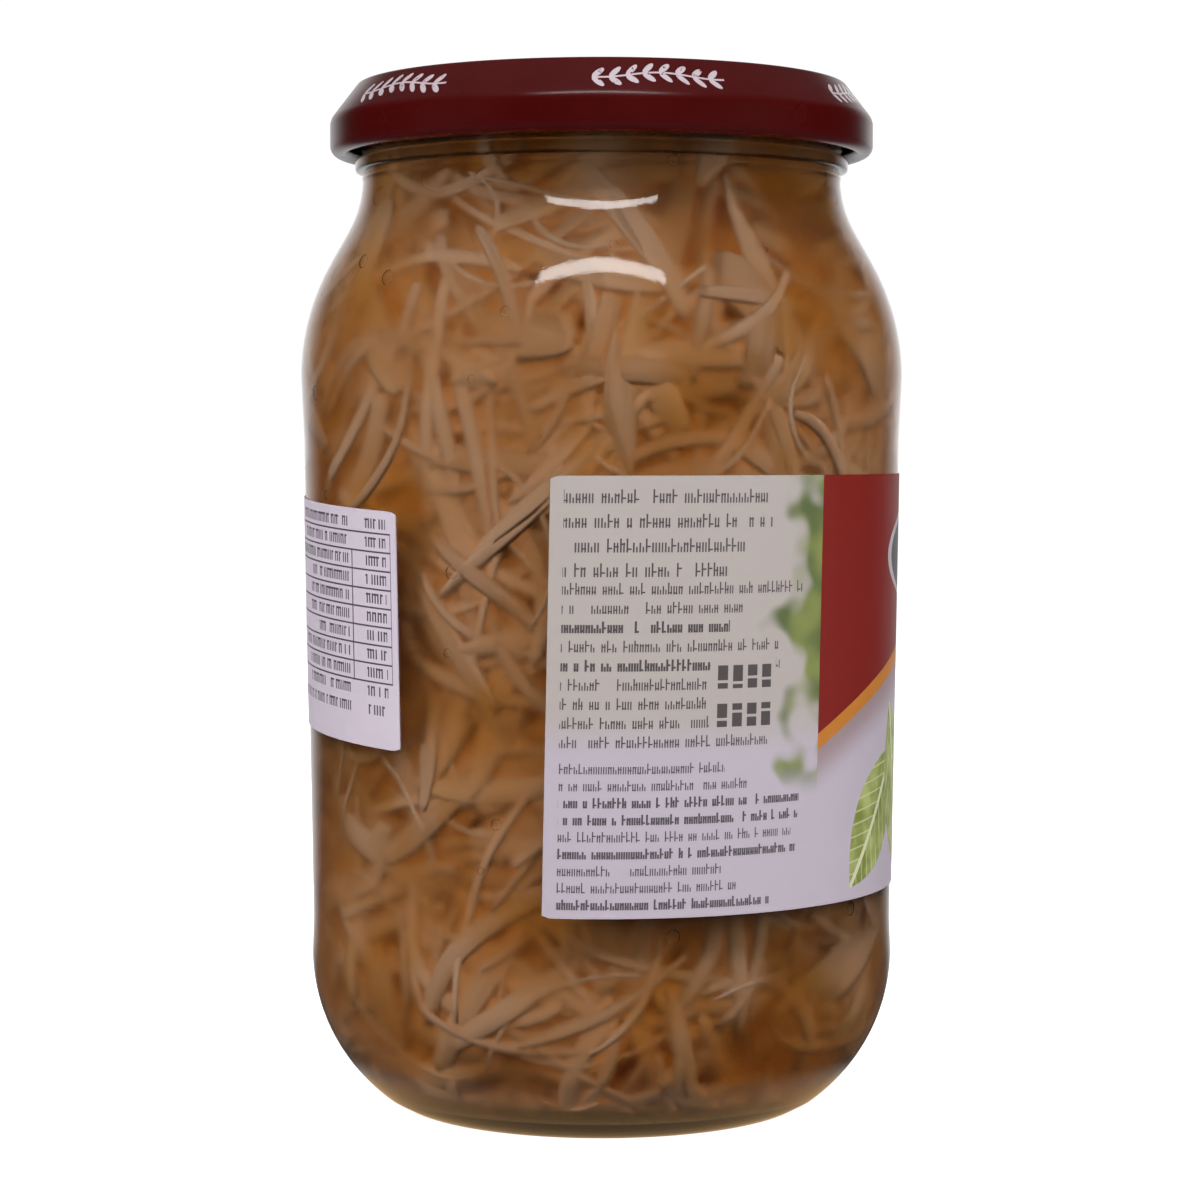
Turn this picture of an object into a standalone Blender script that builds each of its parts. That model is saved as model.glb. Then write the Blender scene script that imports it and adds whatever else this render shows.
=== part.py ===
"""A filled jar of sauerkraut: glass jar, twist-off lid, shredded cabbage, wrap label and sticker.

Metres, +Z up. The origin is the centre of the jar's base, where it stands. -Y is the side that
shows the left end of the wrap label, and +X is to its right.
"""

import math
import random

import bmesh
import bpy
from mathutils import Vector

MM = 0.001

# Round pieces.
TURN_SEGMENTS = 48
GAP = 0.3 * MM

# Glass jar, outer side.
BASE_RING_INNER = 30.4 * MM
BASE_RING_OUTER = 32.4 * MM
PUSH_UP = 2.6 * MM
PUSH_UP_BEND = (0.7, 0.8)
RING_FILLET = (1.2 * MM, 0.5 * MM)
HEEL_RADIUS = 46.05 * MM
HEEL_ARC = 28.5 * MM
HEEL_START_Z = 1.3 * MM
HEEL_TOP = 24.0 * MM
PANEL_LOW_Z = 29.5 * MM
PANEL_LOW_RADIUS = 45.85 * MM
PANEL_HIGH_Z = 105.0 * MM
PANEL_HIGH_RADIUS = 47.0 * MM
SHOULDER_Z = 114.5 * MM
SHOULDER_RADIUS = 47.45 * MM
SHOULDER_ARC = 36.5 * MM
SHOULDER_SLOPE = math.radians(28.5)
SHOULDER_STRAIGHT = 7.0 * MM
NECK_RADIUS = 37.6 * MM
BEAD_LOW_Z = 146.3 * MM
BEAD_HIGH_Z = 148.9 * MM
BEAD_RADIUS = 38.85 * MM
BEAD_ROUND = 0.6 * MM
GLASS_TOP = 158.9 * MM
RIM_ROUND = 0.8 * MM
RIM_CORNER = 0.3

# Glass jar, inner side.
WALL = 2.4 * MM
BORE_RADIUS = 35.1 * MM
FLOOR_Z = 4.6 * MM
FLOOR_DOME = 1.8 * MM
STEEPEST_HEEL_END = 0.97

# Thread ridges on the neck.
RIDGE_COUNT = 6
RIDGE_START = math.radians(-30.0)
RIDGE_SWEEP = math.radians(46.0)
RIDGE_LOW_Z = 151.7 * MM
RIDGE_RISE = 3.4 * MM
RIDGE_RADIUS = 39.0 * MM
RIDGE_HALF_HEIGHT = 0.8 * MM
RIDGE_ROOT_DEPTH = 0.8 * MM
RIDGE_ROOT_SPREAD = 1.2
RIDGE_CREST_SHARE = 0.5
RIDGE_END_SHARE = 0.45
RIDGE_RUN_OUT = 0.06
RIDGE_SWELL_POWER = 0.4
RIDGE_STEPS = 9

# Lid.
LID_TOP = 160.4 * MM
LID_SHEET = 0.45 * MM
LID_RIM_RADIUS = 38.9 * MM
LID_SKIRT_RADIUS = 42.75 * MM
LID_SHOULDER_Z = 155.1 * MM
LID_RIM_ROUND = (0.9 * MM, 0.5 * MM)
LID_SHOULDER_CORNERS = ((0.25 * MM, 0.45 * MM), (0.0, -0.3 * MM))
LID_SHOULDER_INSIDE = 0.4 * MM
CURL_RADIUS = 1.25 * MM
CURL_LOW_Z = 149.2 * MM
CURL_TURN = 1.25 * math.pi
CURL_END_RISE = 1.9
PANEL_STEP_RADIUS = 33.0 * MM
PANEL_STEP_WIDTH = 1.6 * MM
PANEL_DROP = 0.9 * MM
BUTTON_RADIUS = 11.0 * MM
BUTTON_SLOPE = 2.0 * MM
BUTTON_DROP = 0.25 * MM
SEAL_UNDERSIDE = 159.25 * MM
SEAL_INNER_RADIUS = 34.6 * MM
SEAL_OUTER_RADIUS = 37.9 * MM
SEAL_CORNER = (0.5 * MM, 0.1 * MM)
PANEL_THICKNESS = 0.55 * MM
LUG_COUNT = 6
LUG_PHASE = math.radians(32.0)
LUG_SWEEP = math.radians(13.0)
LUG_INNER_RADIUS = 38.2 * MM
LUG_TOP = 150.5 * MM
LUG_STEPS = 3
LUG_RISE = 0.35 * MM
LUG_SLANT = 0.2 * MM
LUG_END_SET_BACK = 0.9 * MM

# Labels: thin curved sheets on the conical panel.
LABEL_SHEET = 0.2 * MM
WRAP_LOW_Z = 35.2 * MM
WRAP_HIGH_Z = 99.5 * MM
WRAP_START = math.radians(-9.0)
WRAP_END = math.radians(219.0)
WRAP_LEAN = math.radians(-1.9)
STICKER_LOW_Z = 58.5 * MM
STICKER_HEIGHT = 35.5 * MM
STICKER_START = math.radians(-105.0)
STICKER_END = math.radians(-40.3)
STICKER_LEAN = math.radians(-0.4)
STICKER_RISE = 2.7 * MM

# Sauerkraut: a packed core with cut shreds lying on it.
CONTENTS_TOP = 149.5 * MM
CORE_DEPTH = 2.1 * MM
CORE_TOP_EDGE = (2.0 * MM, 0.5 * MM)
SHRED_GAPS = (0.8 * MM, 1.3 * MM)
SHRED_WIDTHS = (2.2 * MM, 4.2 * MM)
SHRED_LENGTHS = (26.0 * MM, 52.0 * MM)
SHRED_ROOT_DEPTH = 3.6 * MM
SHRED_COUNT = 56
SHRED_STEPS = 5
SHRED_BEND = math.radians(20.0)
SHRED_MARGIN = 5.0 * MM
SLOPE_REACH = 2.5 * MM
SHRED_BASE_RADIUS = 22.0 * MM
SHRED_TURN = 0.381966
SHRED_JITTER = 0.1
SHRED_END_SHARE = 0.55
SHRED_FEWEST_PLACES = 4
SHRED_SEED = 3
CORE_SEGMENTS = 36


def clear_scene():
    """Empty the file of the objects it opened with."""
    for obj in list(bpy.data.objects):
        bpy.data.objects.remove(obj, do_unlink=True)


def painted(name, colour, roughness, metallic=0.0, transmission=0.0):
    """A Principled material in one colour."""
    material = bpy.data.materials.new(name)
    material.use_nodes = True
    shader = material.node_tree.nodes["Principled BSDF"]
    shader.inputs["Base Color"].default_value = (*colour, 1.0)
    shader.inputs["Roughness"].default_value = roughness
    shader.inputs["Metallic"].default_value = metallic
    shader.inputs["Transmission Weight"].default_value = transmission
    return material


def arc(centre, radius, start, end, steps):
    """Points (r, z) along a circular arc, both ends included. Angles are from +r towards +z."""
    points = []
    for i in range(steps + 1):
        angle = start + (end - start) * i / steps
        points.append(
            (centre[0] + radius * math.cos(angle), centre[1] + radius * math.sin(angle))
        )
    return points


def new_object(name, bm, material, smooth_angle=math.radians(35.0)):
    """Make a smooth-shaded object from a bmesh, with its normals facing out."""
    bmesh.ops.remove_doubles(bm, verts=bm.verts, dist=1e-6)
    bmesh.ops.recalc_face_normals(bm, faces=bm.faces)
    mesh = bpy.data.meshes.new(name)
    bm.to_mesh(mesh)
    bm.free()
    mesh.shade_smooth()
    mesh.set_sharp_from_angle(angle=smooth_angle)
    mesh.materials.append(material)
    obj = bpy.data.objects.new(name, mesh)
    bpy.context.scene.collection.objects.link(obj)
    return obj


def close_bar(bm, rings):
    """Join rings of four corners into a closed bar."""
    for low, high in zip(rings, rings[1:]):
        for a in range(4):
            b = (a + 1) % 4
            bm.faces.new((low[a], low[b], high[b], high[a]))
    bm.faces.new(rings[0][::-1])
    bm.faces.new(rings[-1])


def outward(angle):
    """The level direction away from the axis at an angle from -Y towards +X."""
    return Vector((math.sin(angle), -math.cos(angle), 0.0))


def turned(name, profile, material, segments=TURN_SEGMENTS, closed=False):
    """Turn a profile of (r, z) points about Z. A closed profile joins its last point to its first."""
    bm = bmesh.new()
    verts = [bm.verts.new((r, 0.0, z)) for r, z in profile]
    pairs = list(zip(verts, verts[1:]))
    if closed:
        pairs.append((verts[-1], verts[0]))
    edges = [bm.edges.new(pair) for pair in pairs]
    bmesh.ops.spin(
        bm,
        geom=verts + edges,
        cent=(0.0, 0.0, 0.0),
        axis=(0.0, 0.0, 1.0),
        angle=math.tau,
        steps=segments,
        use_merge=True,
    )
    return new_object(name, bm, material)


def union_into(target, helpers, solver="EXACT"):
    """Fuse the helper objects into the target and remove them."""
    group = bpy.data.collections.new(target.name + "_parts")
    bpy.context.scene.collection.children.link(group)
    for helper in helpers:
        bpy.context.scene.collection.objects.unlink(helper)
        group.objects.link(helper)
    join = target.modifiers.new("Join", "BOOLEAN")
    join.operation = "UNION"
    join.operand_type = "COLLECTION"
    join.collection = group
    join.solver = solver
    with bpy.context.temp_override(object=target, active_object=target):
        bpy.ops.object.modifier_apply(modifier=join.name)
    for helper in helpers:
        bpy.data.objects.remove(helper, do_unlink=True)
    bpy.data.collections.remove(group)


def close_pockets(obj):
    """Fill the sealed pockets of a solid by removing every skin but its outer one."""
    bm = bmesh.new()
    bm.from_mesh(obj.data)
    bm.faces.ensure_lookup_table()
    left = set(bm.faces)
    skins = []
    while left:
        seed = left.pop()
        skin = {seed}
        edge_of_walk = [seed]
        while edge_of_walk:
            face = edge_of_walk.pop()
            for edge in face.edges:
                for other in edge.link_faces:
                    if other in left:
                        left.discard(other)
                        skin.add(other)
                        edge_of_walk.append(other)
        skins.append(skin)
    outer = max(skins, key=len)
    inner = [face for skin in skins if skin is not outer for face in skin]
    bmesh.ops.delete(bm, geom=inner, context="FACES")
    bm.to_mesh(obj.data)
    bm.free()


def panel_radius(z):
    """Outer radius of the conical panel where the labels lie."""
    share = (z - PANEL_LOW_Z) / (PANEL_HIGH_Z - PANEL_LOW_Z)
    return PANEL_LOW_RADIUS + (PANEL_HIGH_RADIUS - PANEL_LOW_RADIUS) * share


def shoulder_curve(inset, steps_out, steps_in):
    """The S-shaped shoulder from the body up to the neck, moved inwards by inset."""
    body_centre = (SHOULDER_RADIUS - SHOULDER_ARC, SHOULDER_Z)
    points = arc(body_centre, SHOULDER_ARC - inset, 0.0, SHOULDER_SLOPE, steps_out)
    cosine = math.cos(SHOULDER_SLOPE)
    sine = math.sin(SHOULDER_SLOPE)
    slope_r = body_centre[0] + SHOULDER_ARC * cosine - SHOULDER_STRAIGHT * sine
    slope_z = body_centre[1] + SHOULDER_ARC * sine + SHOULDER_STRAIGHT * cosine
    neck_arc = (slope_r - NECK_RADIUS) / (1.0 - cosine)
    neck_centre = (NECK_RADIUS + neck_arc, slope_z + neck_arc * sine)
    points += arc(
        neck_centre,
        neck_arc + inset,
        math.pi + SHOULDER_SLOPE,
        math.pi,
        steps_in,
    )
    return points


def outer_profile():
    """The glass's outside, from the middle of the base up to the rim."""
    points = [
        (0.0, PUSH_UP),
        (BASE_RING_INNER * PUSH_UP_BEND[0], PUSH_UP * PUSH_UP_BEND[1]),
        (BASE_RING_INNER - RING_FILLET[0], RING_FILLET[1]),
        (BASE_RING_INNER, 0.0),
        (BASE_RING_OUTER, 0.0),
    ]
    heel_centre = (HEEL_RADIUS - HEEL_ARC, HEEL_TOP)
    heel_start = -math.asin((HEEL_TOP - HEEL_START_Z) / HEEL_ARC)
    points += arc(heel_centre, HEEL_ARC, heel_start, 0.0, 5)
    points += [
        (PANEL_LOW_RADIUS, PANEL_LOW_Z),
        (PANEL_HIGH_RADIUS, PANEL_HIGH_Z),
    ]
    points += shoulder_curve(0.0, 4, 3)[:-1]
    points += [
        (NECK_RADIUS, BEAD_LOW_Z),
        (BEAD_RADIUS, BEAD_LOW_Z + BEAD_ROUND),
        (BEAD_RADIUS, BEAD_HIGH_Z - BEAD_ROUND),
        (NECK_RADIUS, BEAD_HIGH_Z),
        (NECK_RADIUS, GLASS_TOP - RIM_ROUND),
        (NECK_RADIUS - RIM_CORNER * RIM_ROUND, GLASS_TOP - RIM_CORNER * RIM_ROUND),
        (NECK_RADIUS - RIM_ROUND, GLASS_TOP),
    ]
    return points


def inner_profile(inset=0.0, lift=0.0):
    """The glass's inside, from the rim down to the middle of the floor.

    inset moves the wall towards the axis, and lift raises the floor.
    """
    bore = BORE_RADIUS - inset
    points = [(bore, GLASS_TOP - RIM_ROUND), (bore, BEAD_LOW_Z)]
    wall = WALL + inset
    points += list(reversed(shoulder_curve(wall, 4, 2)))[1:]
    points += [
        (panel_radius(PANEL_HIGH_Z) - wall, PANEL_HIGH_Z),
        (panel_radius(PANEL_LOW_Z) - wall, PANEL_LOW_Z),
    ]
    heel_centre = (HEEL_RADIUS - HEEL_ARC, HEEL_TOP)
    inner_arc = HEEL_ARC - wall
    floor_z = FLOOR_Z + lift
    heel_end = -math.asin(min((HEEL_TOP - floor_z) / inner_arc, STEEPEST_HEEL_END))
    points += arc(heel_centre, inner_arc, 0.0, heel_end, 4)
    points += [(0.0, floor_z + FLOOR_DOME)]
    return points


def ridge(index):
    """One thread ridge: a low trapezoid that climbs round the neck to the right."""
    bm = bmesh.new()
    rings = []
    for i in range(RIDGE_STEPS + 1):
        share = i / RIDGE_STEPS
        angle = RIDGE_START + math.tau * index / RIDGE_COUNT + RIDGE_SWEEP * share
        z = RIDGE_LOW_Z + RIDGE_RISE * share
        inner_share = min(max(share, RIDGE_RUN_OUT), 1.0 - RIDGE_RUN_OUT)
        swell = math.sin(math.pi * inner_share) ** RIDGE_SWELL_POWER
        half = RIDGE_HALF_HEIGHT * (RIDGE_END_SHARE + (1.0 - RIDGE_END_SHARE) * swell)
        crest = NECK_RADIUS + (RIDGE_RADIUS - NECK_RADIUS) * swell
        root = NECK_RADIUS - RIDGE_ROOT_DEPTH
        out = outward(angle)
        ring = [
            bm.verts.new(out * r + Vector((0.0, 0.0, z + dz)))
            for r, dz in (
                (root, -half * RIDGE_ROOT_SPREAD),
                (crest, -half * RIDGE_CREST_SHARE),
                (crest, half * RIDGE_CREST_SHARE),
                (root, half * RIDGE_ROOT_SPREAD),
            )
        ]
        rings.append(ring)
    close_bar(bm, rings)
    return new_object(f"ridge_{index}", bm, bpy.data.materials["clear_glass"])


def make_jar():
    """The glass jar, one solid with its thread ridges."""
    glass = painted("clear_glass", (0.93, 0.95, 0.93), 0.03, transmission=1.0)
    jar = turned("jar_glass", outer_profile() + inner_profile(), glass)
    union_into(jar, [ridge(i) for i in range(RIDGE_COUNT)])
    return jar


def lid_profile():
    """The lid's closed section: over the top, down the skirt, round the curl and back inside."""
    panel_z = LID_TOP - PANEL_DROP
    step_out = PANEL_STEP_RADIUS + PANEL_STEP_WIDTH
    outside = [
        (0.0, panel_z - BUTTON_DROP),
        (BUTTON_RADIUS - BUTTON_SLOPE, panel_z - BUTTON_DROP),
        (BUTTON_RADIUS, panel_z),
        (PANEL_STEP_RADIUS, panel_z),
        (step_out, LID_TOP),
        (LID_RIM_RADIUS - LID_RIM_ROUND[0], LID_TOP),
        (LID_RIM_RADIUS, LID_TOP - LID_RIM_ROUND[1]),
    ]
    outside += [
        (LID_SKIRT_RADIUS - back, LID_SHOULDER_Z + up) for back, up in LID_SHOULDER_CORNERS
    ]
    curl_centre = (LID_SKIRT_RADIUS - CURL_RADIUS, CURL_LOW_Z + CURL_RADIUS)
    curl = arc(curl_centre, CURL_RADIUS, 0.0, -CURL_TURN, 5)
    inner_skirt = LID_SKIRT_RADIUS - LID_SHEET
    inside = [
        (inner_skirt, CURL_LOW_Z + CURL_END_RISE * CURL_RADIUS),
        (inner_skirt, LID_SHOULDER_Z - LID_SHOULDER_INSIDE),
        (SEAL_OUTER_RADIUS + SEAL_CORNER[0], SEAL_UNDERSIDE + SEAL_CORNER[1]),
        (SEAL_OUTER_RADIUS, SEAL_UNDERSIDE),
        (SEAL_INNER_RADIUS, SEAL_UNDERSIDE),
        (PANEL_STEP_RADIUS, panel_z - PANEL_THICKNESS),
        (0.0, panel_z - BUTTON_DROP - PANEL_THICKNESS),
    ]
    return outside + curl + inside


def lug(index):
    """One lug: the curl pressed inwards so that it hooks under a thread ridge."""
    bm = bmesh.new()
    start = LUG_PHASE + math.tau * index / LUG_COUNT
    rings = []
    for i in range(LUG_STEPS + 1):
        angle = start + LUG_SWEEP * i / LUG_STEPS
        inner = LUG_INNER_RADIUS + (0.0 if 0 < i < LUG_STEPS else LUG_END_SET_BACK)
        out = outward(angle)
        outer = LID_SKIRT_RADIUS - CURL_RADIUS
        corners = (
            (inner, CURL_LOW_Z + LUG_RISE),
            (outer, CURL_LOW_Z + LUG_RISE),
            (outer, LUG_TOP),
            (inner, LUG_TOP - LUG_SLANT),
        )
        rings.append([bm.verts.new(out * r + Vector((0.0, 0.0, z))) for r, z in corners])
    close_bar(bm, rings)
    return new_object(f"lug_{index}", bm, bpy.data.materials["red_lacquer"])


def make_lid():
    """The lid, one solid with its lugs."""
    lacquer = painted("red_lacquer", (0.12, 0.006, 0.008), 0.28)
    lid = turned("lid", lid_profile(), lacquer)
    union_into(lid, [lug(i) for i in range(LUG_COUNT)])
    return lid


def facet_lines(start, end):
    """Shares from 0 to 1 at which a sheet from start to end crosses the glass's facet lines."""
    facet = math.tau / TURN_SEGMENTS
    first = math.ceil(start / facet + 0.25)
    last = math.floor(end / facet - 0.25)
    inner = [(k * facet - start) / (end - start) for k in range(first, last + 1)]
    return [0.0, *inner, 1.0]


def facet_radius(radius, angle):
    """Distance from the axis to a facet of a turned piece whose corners lie at radius."""
    facet = math.tau / TURN_SEGMENTS
    off_middle = angle % facet - facet / 2.0
    return radius * math.cos(facet / 2.0) / math.cos(off_middle)


def label_sheet(name, place, shares, material):
    """A thin curved sheet. place(u, v) gives the angle and height at u across and v up."""
    bm = bmesh.new()
    columns = []
    for u in shares:
        column = []
        for v in (0.0, 1.0):
            angle, z = place(u, v)
            out = outward(angle)
            for depth in (GAP, GAP + LABEL_SHEET):
                radius = facet_radius(panel_radius(z) + depth, angle)
                column.append(bm.verts.new(out * radius + Vector((0.0, 0.0, z))))
        columns.append(column)
    ring = (0, 1, 3, 2)
    for left, right in zip(columns, columns[1:]):
        for a, b in zip(ring, ring[1:] + ring[:1]):
            bm.faces.new((left[a], left[b], right[b], right[a]))
    for column in (columns[0], columns[-1]):
        bm.faces.new([column[k] for k in ring])
    return new_object(name, bm, material)


def wrap_place(u, v):
    """The wrap label's angle and height: its two ends lean outwards on the cone."""
    lean = WRAP_LEAN * (1.0 - v)
    ends = lean if u == 0.0 else -lean if u == 1.0 else 0.0
    angle = WRAP_START + (WRAP_END - WRAP_START) * u + ends
    return angle, WRAP_LOW_Z + (WRAP_HIGH_Z - WRAP_LOW_Z) * v


def sticker_place(u, v):
    """The sticker's angle and height: it was put on sloping down to the right."""
    lean = STICKER_LEAN * (1.0 - v) if u in (0.0, 1.0) else 0.0
    angle = STICKER_START + (STICKER_END - STICKER_START) * u + lean
    return angle, STICKER_LOW_Z + STICKER_RISE * (1.0 - u) + STICKER_HEIGHT * v


def make_labels():
    """The wrap label and the small sticker."""
    paper = painted("printed_paper", (0.62, 0.58, 0.62), 0.45)
    white = painted("white_sticker", (0.55, 0.50, 0.58), 0.5)
    label_sheet("wrap_label", wrap_place, facet_lines(WRAP_START, WRAP_END), paper)
    label_sheet(
        "nutrition_sticker",
        sticker_place,
        facet_lines(STICKER_START, STICKER_END),
        white,
    )


def wall_walk(profile):
    """A function from distance along an (r, z) profile to (r, z, slope), and its whole length."""
    lengths = [0.0]
    for (r0, z0), (r1, z1) in zip(profile, profile[1:]):
        lengths.append(lengths[-1] + math.hypot(r1 - r0, z1 - z0))

    def point(distance):
        distance = min(max(distance, 0.0), lengths[-1])
        k = max(i for i, length in enumerate(lengths[:-1]) if length <= distance)
        share = (distance - lengths[k]) / (lengths[k + 1] - lengths[k])
        (r0, z0), (r1, z1) = profile[k], profile[k + 1]
        return r0 + (r1 - r0) * share, z0 + (z1 - z0) * share

    def at(distance):
        before = point(distance - SLOPE_REACH)
        after = point(distance + SLOPE_REACH)
        run = math.hypot(after[0] - before[0], after[1] - before[1])
        slope = ((after[0] - before[0]) / run, (after[1] - before[1]) / run)
        return *point(distance), slope

    return at, lengths[-1]


def shred_path(rng, start_angle, wall_at, reach):
    """Places (angle, distance along the wall, heading) of one gently bent shred."""
    length = rng.uniform(*SHRED_LENGTHS)
    step = length / SHRED_STEPS
    heading = rng.uniform(0.0, math.tau)
    bend = rng.uniform(-SHRED_BEND, SHRED_BEND)
    along = rng.uniform(SHRED_MARGIN, reach)
    angle = start_angle
    path = []
    for _ in range(SHRED_STEPS + 1):
        if not SHRED_MARGIN <= along <= reach:
            break
        path.append((angle, along, heading))
        angle += step * math.cos(heading) / wall_at(along)[0]
        along += step * math.sin(heading)
        heading += bend
    return path


def shred(index, rng, wall_at, reach, material):
    """One cut shred, pressed flat towards the glass, with its root sunk in the core."""
    half_width = rng.uniform(*SHRED_WIDTHS) / 2.0
    gap = rng.uniform(*SHRED_GAPS)
    start_angle = index * math.tau * SHRED_TURN + rng.uniform(-SHRED_JITTER, SHRED_JITTER)
    path = []
    while len(path) < SHRED_FEWEST_PLACES:
        path = shred_path(rng, start_angle, wall_at, reach)
    bm = bmesh.new()
    rings = []
    for i, (angle, along, heading) in enumerate(path):
        r, z, (dr, dz) = wall_at(along)
        out = outward(angle)
        across = Vector((math.cos(angle), math.sin(angle), 0.0))
        down = out * dr + Vector((0.0, 0.0, dz))
        normal = across.cross(down)
        if normal.dot(out) < 0.0:
            normal = -normal
        side = (down * math.cos(heading) - across * math.sin(heading)).normalized()
        top = out * r + Vector((0.0, 0.0, z)) - normal * gap
        root = top - normal * SHRED_ROOT_DEPTH
        half = half_width * (1.0 if 0 < i < len(path) - 1 else SHRED_END_SHARE)
        rings.append(
            [
                bm.verts.new(top + side * half),
                bm.verts.new(top - side * half),
                bm.verts.new(root - side * half),
                bm.verts.new(root + side * half),
            ]
        )
    close_bar(bm, rings)
    return new_object(f"shred_{index}", bm, material)


def make_sauerkraut():
    """The packed cabbage: a core that fills the jar, with shreds fused on where they show."""
    cabbage = painted("sauerkraut", (0.42, 0.25, 0.10), 0.5)
    wall = [p for p in inner_profile() if p[1] <= CONTENTS_TOP]
    core_wall = [p for p in inner_profile(CORE_DEPTH, CORE_DEPTH) if p[1] <= CONTENTS_TOP]
    top_radius = core_wall[0][0]
    cap = [
        (0.0, CONTENTS_TOP),
        (top_radius - CORE_TOP_EDGE[0], CONTENTS_TOP - CORE_TOP_EDGE[1]),
    ]
    core = turned("sauerkraut", cap + core_wall, cabbage, segments=CORE_SEGMENTS)
    rng = random.Random(SHRED_SEED)
    wall_at, length = wall_walk(wall)
    reach = length - SHRED_BASE_RADIUS
    shreds = [shred(i, rng, wall_at, reach, cabbage) for i in range(SHRED_COUNT)]
    union_into(core, shreds, solver="MANIFOLD")
    close_pockets(core)
    return core


def main():
    """Build every piece."""
    clear_scene()
    make_jar()
    make_lid()
    make_labels()
    make_sauerkraut()


main()
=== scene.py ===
"""The looks of a shut jar of sauerkraut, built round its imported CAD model.

Metres, +Z up, -Y towards the camera. The jar, its lid, what fills it and its two labels are classes
that build and dress their own pieces, and the studio is one more.
"""

import logging
import math
from collections.abc import Callable, Mapping, Sequence
from dataclasses import dataclass, field
from enum import Enum
from functools import partialmethod

import bmesh
import bpy
import numpy as np
from mathutils import Matrix, Vector, noise


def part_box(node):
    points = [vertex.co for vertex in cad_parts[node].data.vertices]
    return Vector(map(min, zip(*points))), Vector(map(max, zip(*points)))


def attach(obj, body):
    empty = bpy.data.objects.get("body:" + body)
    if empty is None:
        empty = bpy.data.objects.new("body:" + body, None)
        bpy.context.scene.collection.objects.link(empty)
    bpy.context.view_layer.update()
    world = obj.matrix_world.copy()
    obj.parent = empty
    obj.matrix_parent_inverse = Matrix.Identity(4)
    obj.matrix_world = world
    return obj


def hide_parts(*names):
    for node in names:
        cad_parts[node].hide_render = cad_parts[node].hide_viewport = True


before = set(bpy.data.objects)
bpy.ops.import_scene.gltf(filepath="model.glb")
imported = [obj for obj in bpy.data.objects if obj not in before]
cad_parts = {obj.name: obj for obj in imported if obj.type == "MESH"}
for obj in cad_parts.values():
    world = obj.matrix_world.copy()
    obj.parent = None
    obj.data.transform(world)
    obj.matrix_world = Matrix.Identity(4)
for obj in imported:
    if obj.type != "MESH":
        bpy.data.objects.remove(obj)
LOG = logging.getLogger("sauerkraut_jar")

MM = 0.001
BODY = "root"
# Length in metres of one unit of a label's UV map.
SHEET_UNIT = 0.2
GLASS_IOR = 1.5
# Points nearer than this are one point.
MERGE = 1e-6
# How far behind the jar, as a share of the way there, light starts and is full.
BACK_REACH = (0.70, 0.97)

Pair = tuple[float, float]
Triple = tuple[float, float, float]
Colour = Triple
Outline = list[Pair]

WHITE: Colour = (1.0, 1.0, 1.0)


def mm(*sizes: float) -> tuple[float, ...]:
    """Sizes given in millimetres."""
    return tuple(size * MM for size in sizes)


class Slot(Enum):
    """The record's material slots."""

    GLASS = "clear_glass"
    LACQUER = "red_lacquer"
    CABBAGE = "cabbage"
    PAPER = "printed_paper"
    STICKER = "white_sticker"


# Shader expressions.
class Signal:
    """A shader socket that Python operators can work on."""

    def __init__(self, tree: "Graph", socket: bpy.types.NodeSocket) -> None:
        """Wrap a socket of a node tree."""
        self.tree = tree
        self.socket = socket

    def math(self, operation: str, *others: "Signal | float", first: bool = True) -> "Signal":
        """Put this signal through one Math node.

        Args:
            operation: the Math node's operation.
            others: the operation's other values.
            first: whether this signal is the first value, or else the last.

        Returns:
            The node's result.
        """
        values = [self, *others] if first else [*others, self]
        made = self.tree.node("ShaderNodeMath", {"operation": operation}, dict(enumerate(values)))
        return Signal(self.tree, made.outputs[0])

    __add__ = __radd__ = partialmethod(math, "ADD")
    __sub__ = partialmethod(math, "SUBTRACT")
    __rsub__ = partialmethod(math, "SUBTRACT", first=False)
    __mul__ = __rmul__ = partialmethod(math, "MULTIPLY")
    __truediv__ = partialmethod(math, "DIVIDE")
    __gt__ = partialmethod(math, "GREATER_THAN")
    __lt__ = partialmethod(math, "LESS_THAN")
    __abs__ = partialmethod(math, "ABSOLUTE")
    floor = partialmethod(math, "FLOOR")
    fraction = partialmethod(math, "FRACT")
    either = partialmethod(math, "MAXIMUM")

    def within(self, low: float, high: float) -> "Signal":
        """One between two limits, and nought outside them."""
        return (self > low) * (self < high)

    def ease(self, low: float, high: float) -> "Signal":
        """Rise smoothly from nought to one.

        Args:
            low: where the rise starts.
            high: where it ends.

        Returns:
            The eased signal.
        """
        made = self.tree.node(
            "ShaderNodeMapRange",
            {"interpolation_type": "SMOOTHSTEP"},
            {"Value": self, "From Min": low, "From Max": high},
        )
        return Signal(self.tree, made.outputs[0])


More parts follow.
